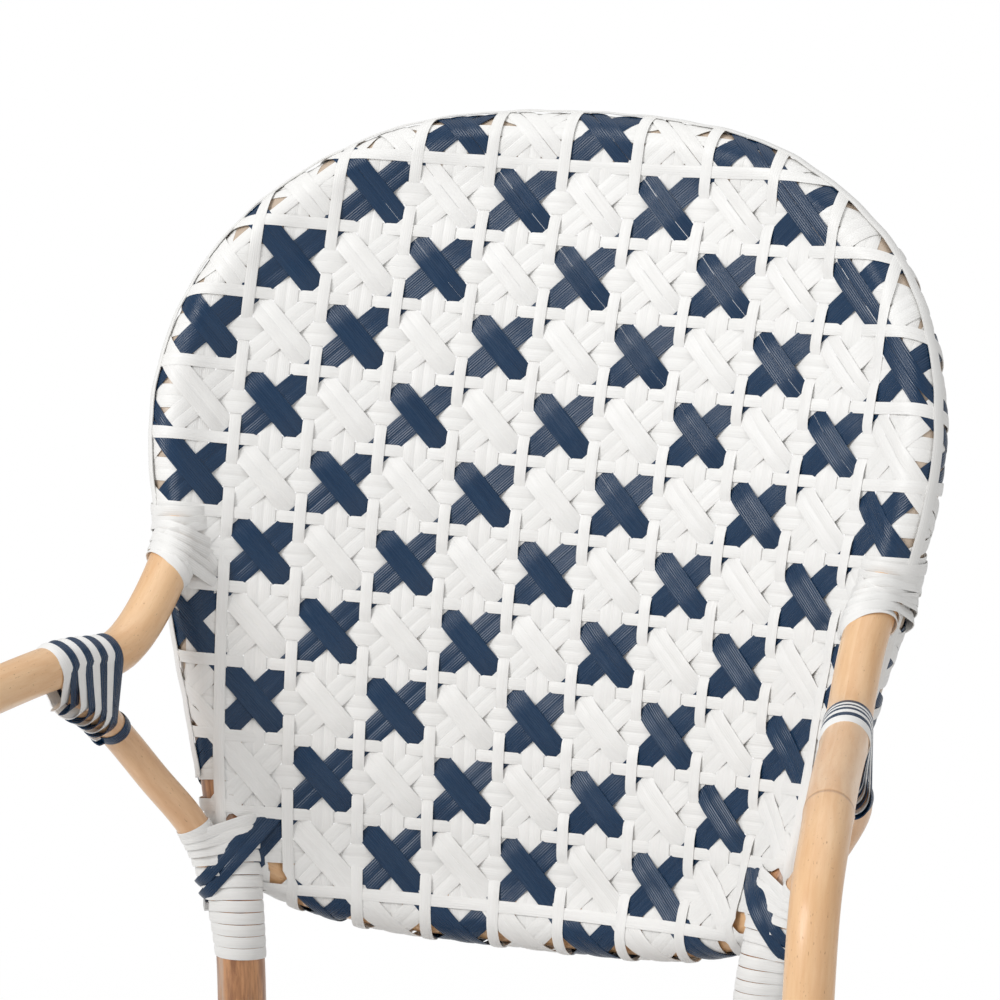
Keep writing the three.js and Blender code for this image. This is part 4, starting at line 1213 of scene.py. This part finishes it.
def seatSheetPlace(flat):
    x, y = flat[..., 0], flat[..., 1]
    roundness = (x / seatHalfWidth) ** 2 + ((y - seatMiddle) / seatHalfDepth) ** 2
    rise = ringHeight + seatShape["sheetRise"] - seatShape["dish"] * np.maximum(1 - roundness, 0) ** 1.5
    return np.stack([x, y, rise], -1)


def seatCells(cells):
    i, j = cells[..., 0], cells[..., 1]
    return np.stack([i, 5 - j], -1) * weavePattern["pitch"] + [0, seatMiddle]


seatWeave = Sheet(seatSheetPlace, seatCells)
seatWeave.border = borderOf(seatFlat, seatAxis, frameShape["ringRadius"], seatWeave)
weaveSheet("seat", seatWeave, 11, 11, "seat_weave", lambda line: line % 2 == 1)
makePole("seatRing", "peeled_rattan", "seat_ring", seatRing, tone=0.4)

barHeight = ringHeight - frameShape["barRadius"]
barPlaces = {
    "front": planY(frameShape["armReach"]) + seatShape["frontBarInset"],
    "rear": planY(seatShape["rearBarSetback"]),
}
for barName, y in barPlaces.items():
    reach = seatHalfWidthAt(y) - frameShape["ringRadius"] * seatShape["barEndDepth"]
    bar = Path(np.linspace([-reach, y, barHeight], [reach, y, barHeight], 40), frameShape["barRadius"])
    makePole(
        barName + "CrossBar", "peeled_rattan", "seat_cross_bar_" + barName, bar,
        tone=0.2 if barName == "front" else 0.7,
    )

legAt = {"front": frontLegAt, "rear": backPoleAt}
legRadii = {"front": arm.radius, "rear": backPole.radius}


def lapPlace(leg, side, way, height):
    place = legAt[leg](height) * [side, 1, 1]
    reach = legRadii[leg] + frameShape["archRadius"] - seatShape["housing"] / 2
    return place + np.array(way, float) * reach


def archHalf(leg, side, way, crown):
    points = [lapPlace(leg, side, way, seatShape["lapBottom"])]
    top = lapPlace(leg, side, way, seatShape["lapTop"])
    for angle in np.linspace(0, math.pi / 2, seatShape["quarterSteps"], endpoint=False):
        place = between(crown, top, math.cos(angle))
        place[2] = between(top[2], crown[2], math.sin(angle))
        points.append(place)
    return points


def makeArches():
    housing = seatShape["housing"] / 2
    ringWrap = frameShape["ringRadius"] + seatShape["weaveWrap"]
    ringCrown = ringHeight - ringWrap - frameShape["archRadius"] + housing
    barCrown = barHeight - frameShape["barRadius"] - frameShape["archRadius"] + housing
    sideSetback = seatShape["rearBarSetback"] + frameShape["barRadius"] + seatShape["crownToBarGap"]
    sideY = planY(sideSetback + seatShape["crownLength"] / 2)
    crowns = {
        "front": (0, barPlaces["front"], barCrown),
        "rear": (0, planY(seatShape["rearSetback"]), ringCrown),
    }
    legs = {leg: [(leg, side, (-side, 0, 0)) for side in sides.values()] for leg in crowns}
    for sideName, side in sides.items():
        crowns[sideName] = (side * seatHalfWidthAt(sideY), sideY, ringCrown)
        legs[sideName] = [("rear", side, (0, -1, 0)), ("front", side, (0, 1, 0))]
    for k, (name, crown) in enumerate(crowns.items()):
        first, second = (archHalf(*leg, np.array(crown)) for leg in legs[name])
        arch = pathOf(first + [crown] + second[::-1], frameShape["archRadius"])
        makePole(
            name + "Arch", "pale_rattan", name + "_arch", arch, tone=0.13 + 0.21 * k,
            reference=(0.3, 0.5, 1),
        )
        addCrownBinding(name, arch, crown)


def addCrownBinding(name, arch, crown):
    # Round the arch's crown and the pole above it
    if name == "front":
        above = Path([(x, crown[1], barHeight) for x in (-100, 0, 100)])
        radius = frameShape["barRadius"]
    else:
        above, radius = seatRing, frameShape["ringRadius"] + seatShape["weaveWrap"]
    middleRun = arch.length / 2
    nearest = above.runs[np.linalg.norm(above.points[:, :2] - arch.at(middleRun)[:2], axis=1).argmin()]
    facing = np.sign(above.tangentAt(nearest).dot(arch.tangentAt(middleRun)))

    def station(share):
        shift = (share - 0.5) * seatShape["crownLength"]
        onAbove = nearest + facing * shift
        poles = [
            arch.pole(middleRun + shift),
            (above.at(onAbove), above.tangentAt(onAbove) * facing, radius),
        ]
        return poles, arch.tangentAt(middleRun), upright

    stock = MeshStock()
    addWinding(stock, seatShape["crownTurns"], station)
    makePiece(stock, name + "CrownBinding", "white_strip", name + "_arch_binding")


def makeLegBindings():
    for sideName, side in sides.items():
        for leg, way in (("front", (0, 1, 0)), ("rear", (0, -1, 0))):
            def station(share):
                height = between(seatShape["legBindingBottom"], seatShape["legBindingTop"], share)
                centre = legAt[leg](height)
                axis = unit(legAt[leg](height + 30) - centre)
                poles = [
                    (centre, axis, legRadii[leg]),
                    (lapPlace(leg, 1, (-1, 0, 0), height), axis, frameShape["archRadius"]),
                    (lapPlace(leg, 1, way, height), axis, frameShape["archRadius"]),
                ]
                return poles, upright, np.array([-1.0, 0, 0])
            stock = MeshStock()
            addWinding(stock, seatShape["legBindingTurns"], station, side)
            name = leg + "LegBinding" + sideName.capitalize()
            makePiece(stock, name, "white_strip", leg + "_leg_binding_" + sideName)


makeArches()
makeLegBindings()
print("seat and underframe made")


# The frame's own screws, nails and glides keep their shapes and get the metal and the nylon

for piece in bpy.data.objects:
    for part, key in (("_screw_", "steel"), ("_nail_", "steel"), ("foot_glide", "nylon")):
        if part in piece.name:
            for slot in piece.material_slots:
                slot.material = materials[key]


# Camera, light and floor

cameraView = {
    "azimuth": 18.71, "elevation": 13.147,  # degrees, from straight ahead and from level
    "place": (0.6663, -1.8271, 1.2327), "lens": 162, "sensor": 36,
}
studio = {
    "keyPower": 89, "keySize": 1.8, "keyPlace": (-1.9, -2.6, 2.9),
    "fillPower": 14, "fillSize": 3.0, "fillPlace": (2.6, -2.4, 1.7),
    "topPower": 26, "topSize": 3.0, "topPlace": (0.0, 0.8, 3.4),
    "world": 0.46, "floorSize": 60, "floorColour": (0.86, 0.86, 0.86),
    # Away from the chair the floor is plain white to the camera
    "nearGlow": 0.72, "glowFrom": 0.5, "glowTo": 1.7,
}


def addCamera():
    data = bpy.data.cameras.new("studioCamera")
    data.lens = cameraView["lens"]
    data.sensor_width = cameraView["sensor"]
    data.clip_end = 200
    camera = addObject("studioCamera", data)
    camera.location = cameraView["place"]
    tilt, turn = math.radians(90 - cameraView["elevation"]), math.radians(cameraView["azimuth"])
    camera.rotation_euler = (tilt, 0, turn)
    bpy.context.scene.camera = camera


def addLamp(name, target=(0, 0.1, 0.65)):
    data = bpy.data.lights.new(name, "AREA")
    data.energy = studio[name + "Power"]
    data.size = studio[name + "Size"]
    lamp = addObject(name, data)
    lamp.location = studio[name + "Place"]
    lamp.rotation_euler = (Vector(target) - lamp.location).to_track_quat("-Z", "Y").to_euler()


def addFloor():
    bpy.ops.mesh.primitive_plane_add(size=studio["floorSize"])
    floor = bpy.context.object
    floor.name = "studioFloor"
    made = Material("studioFloor")
    made.set(Base_Color=studio["floorColour"], Roughness=0.9)
    glow = made.node("Emission", {"Color": (1, 1, 1), "Strength": 1.0})
    rays = made.node("LightPath").output.node.outputs
    seen = Socket(made, rays["Is Camera Ray"])
    mirrorSeen = Socket(made, rays["Is Glossy Ray"]) + Socket(made, rays["Is Transmission Ray"])
    place = made.node("TexCoord", outlet="Object")
    away = made.node("VectorMath", [place], outlet="Value", operation="LENGTH")
    white = away.ramp(studio["glowFrom"], studio["glowTo"], studio["nearGlow"], 1.0)
    share = seen * white + mirrorSeen * 0.5
    plain = Socket(made, made.shader.outputs[0])
    made.finish("Material Output", made.node("MixShader", [share, plain, glow]))
    floor.data.materials.append(made.material)


def setWorld():
    world = bpy.data.worlds.new("studioWorld")
    bpy.context.scene.world = world
    made = NodeGraph(world)
    soft = made.node("Background", {"Color": (1, 1, 1), "Strength": studio["world"]})
    white = made.node("Background", {"Color": (1, 1, 1)})
    seen = made.node("LightPath", outlet="Is Camera Ray")
    made.finish("World Output", made.node("MixShader", [seen, soft, white]))


addCamera()
for lampName in ("key", "fill", "top"):
    addLamp(lampName)
addFloor()
setWorld()
bpy.context.scene.view_settings.view_transform = "Standard"

print("stage set")
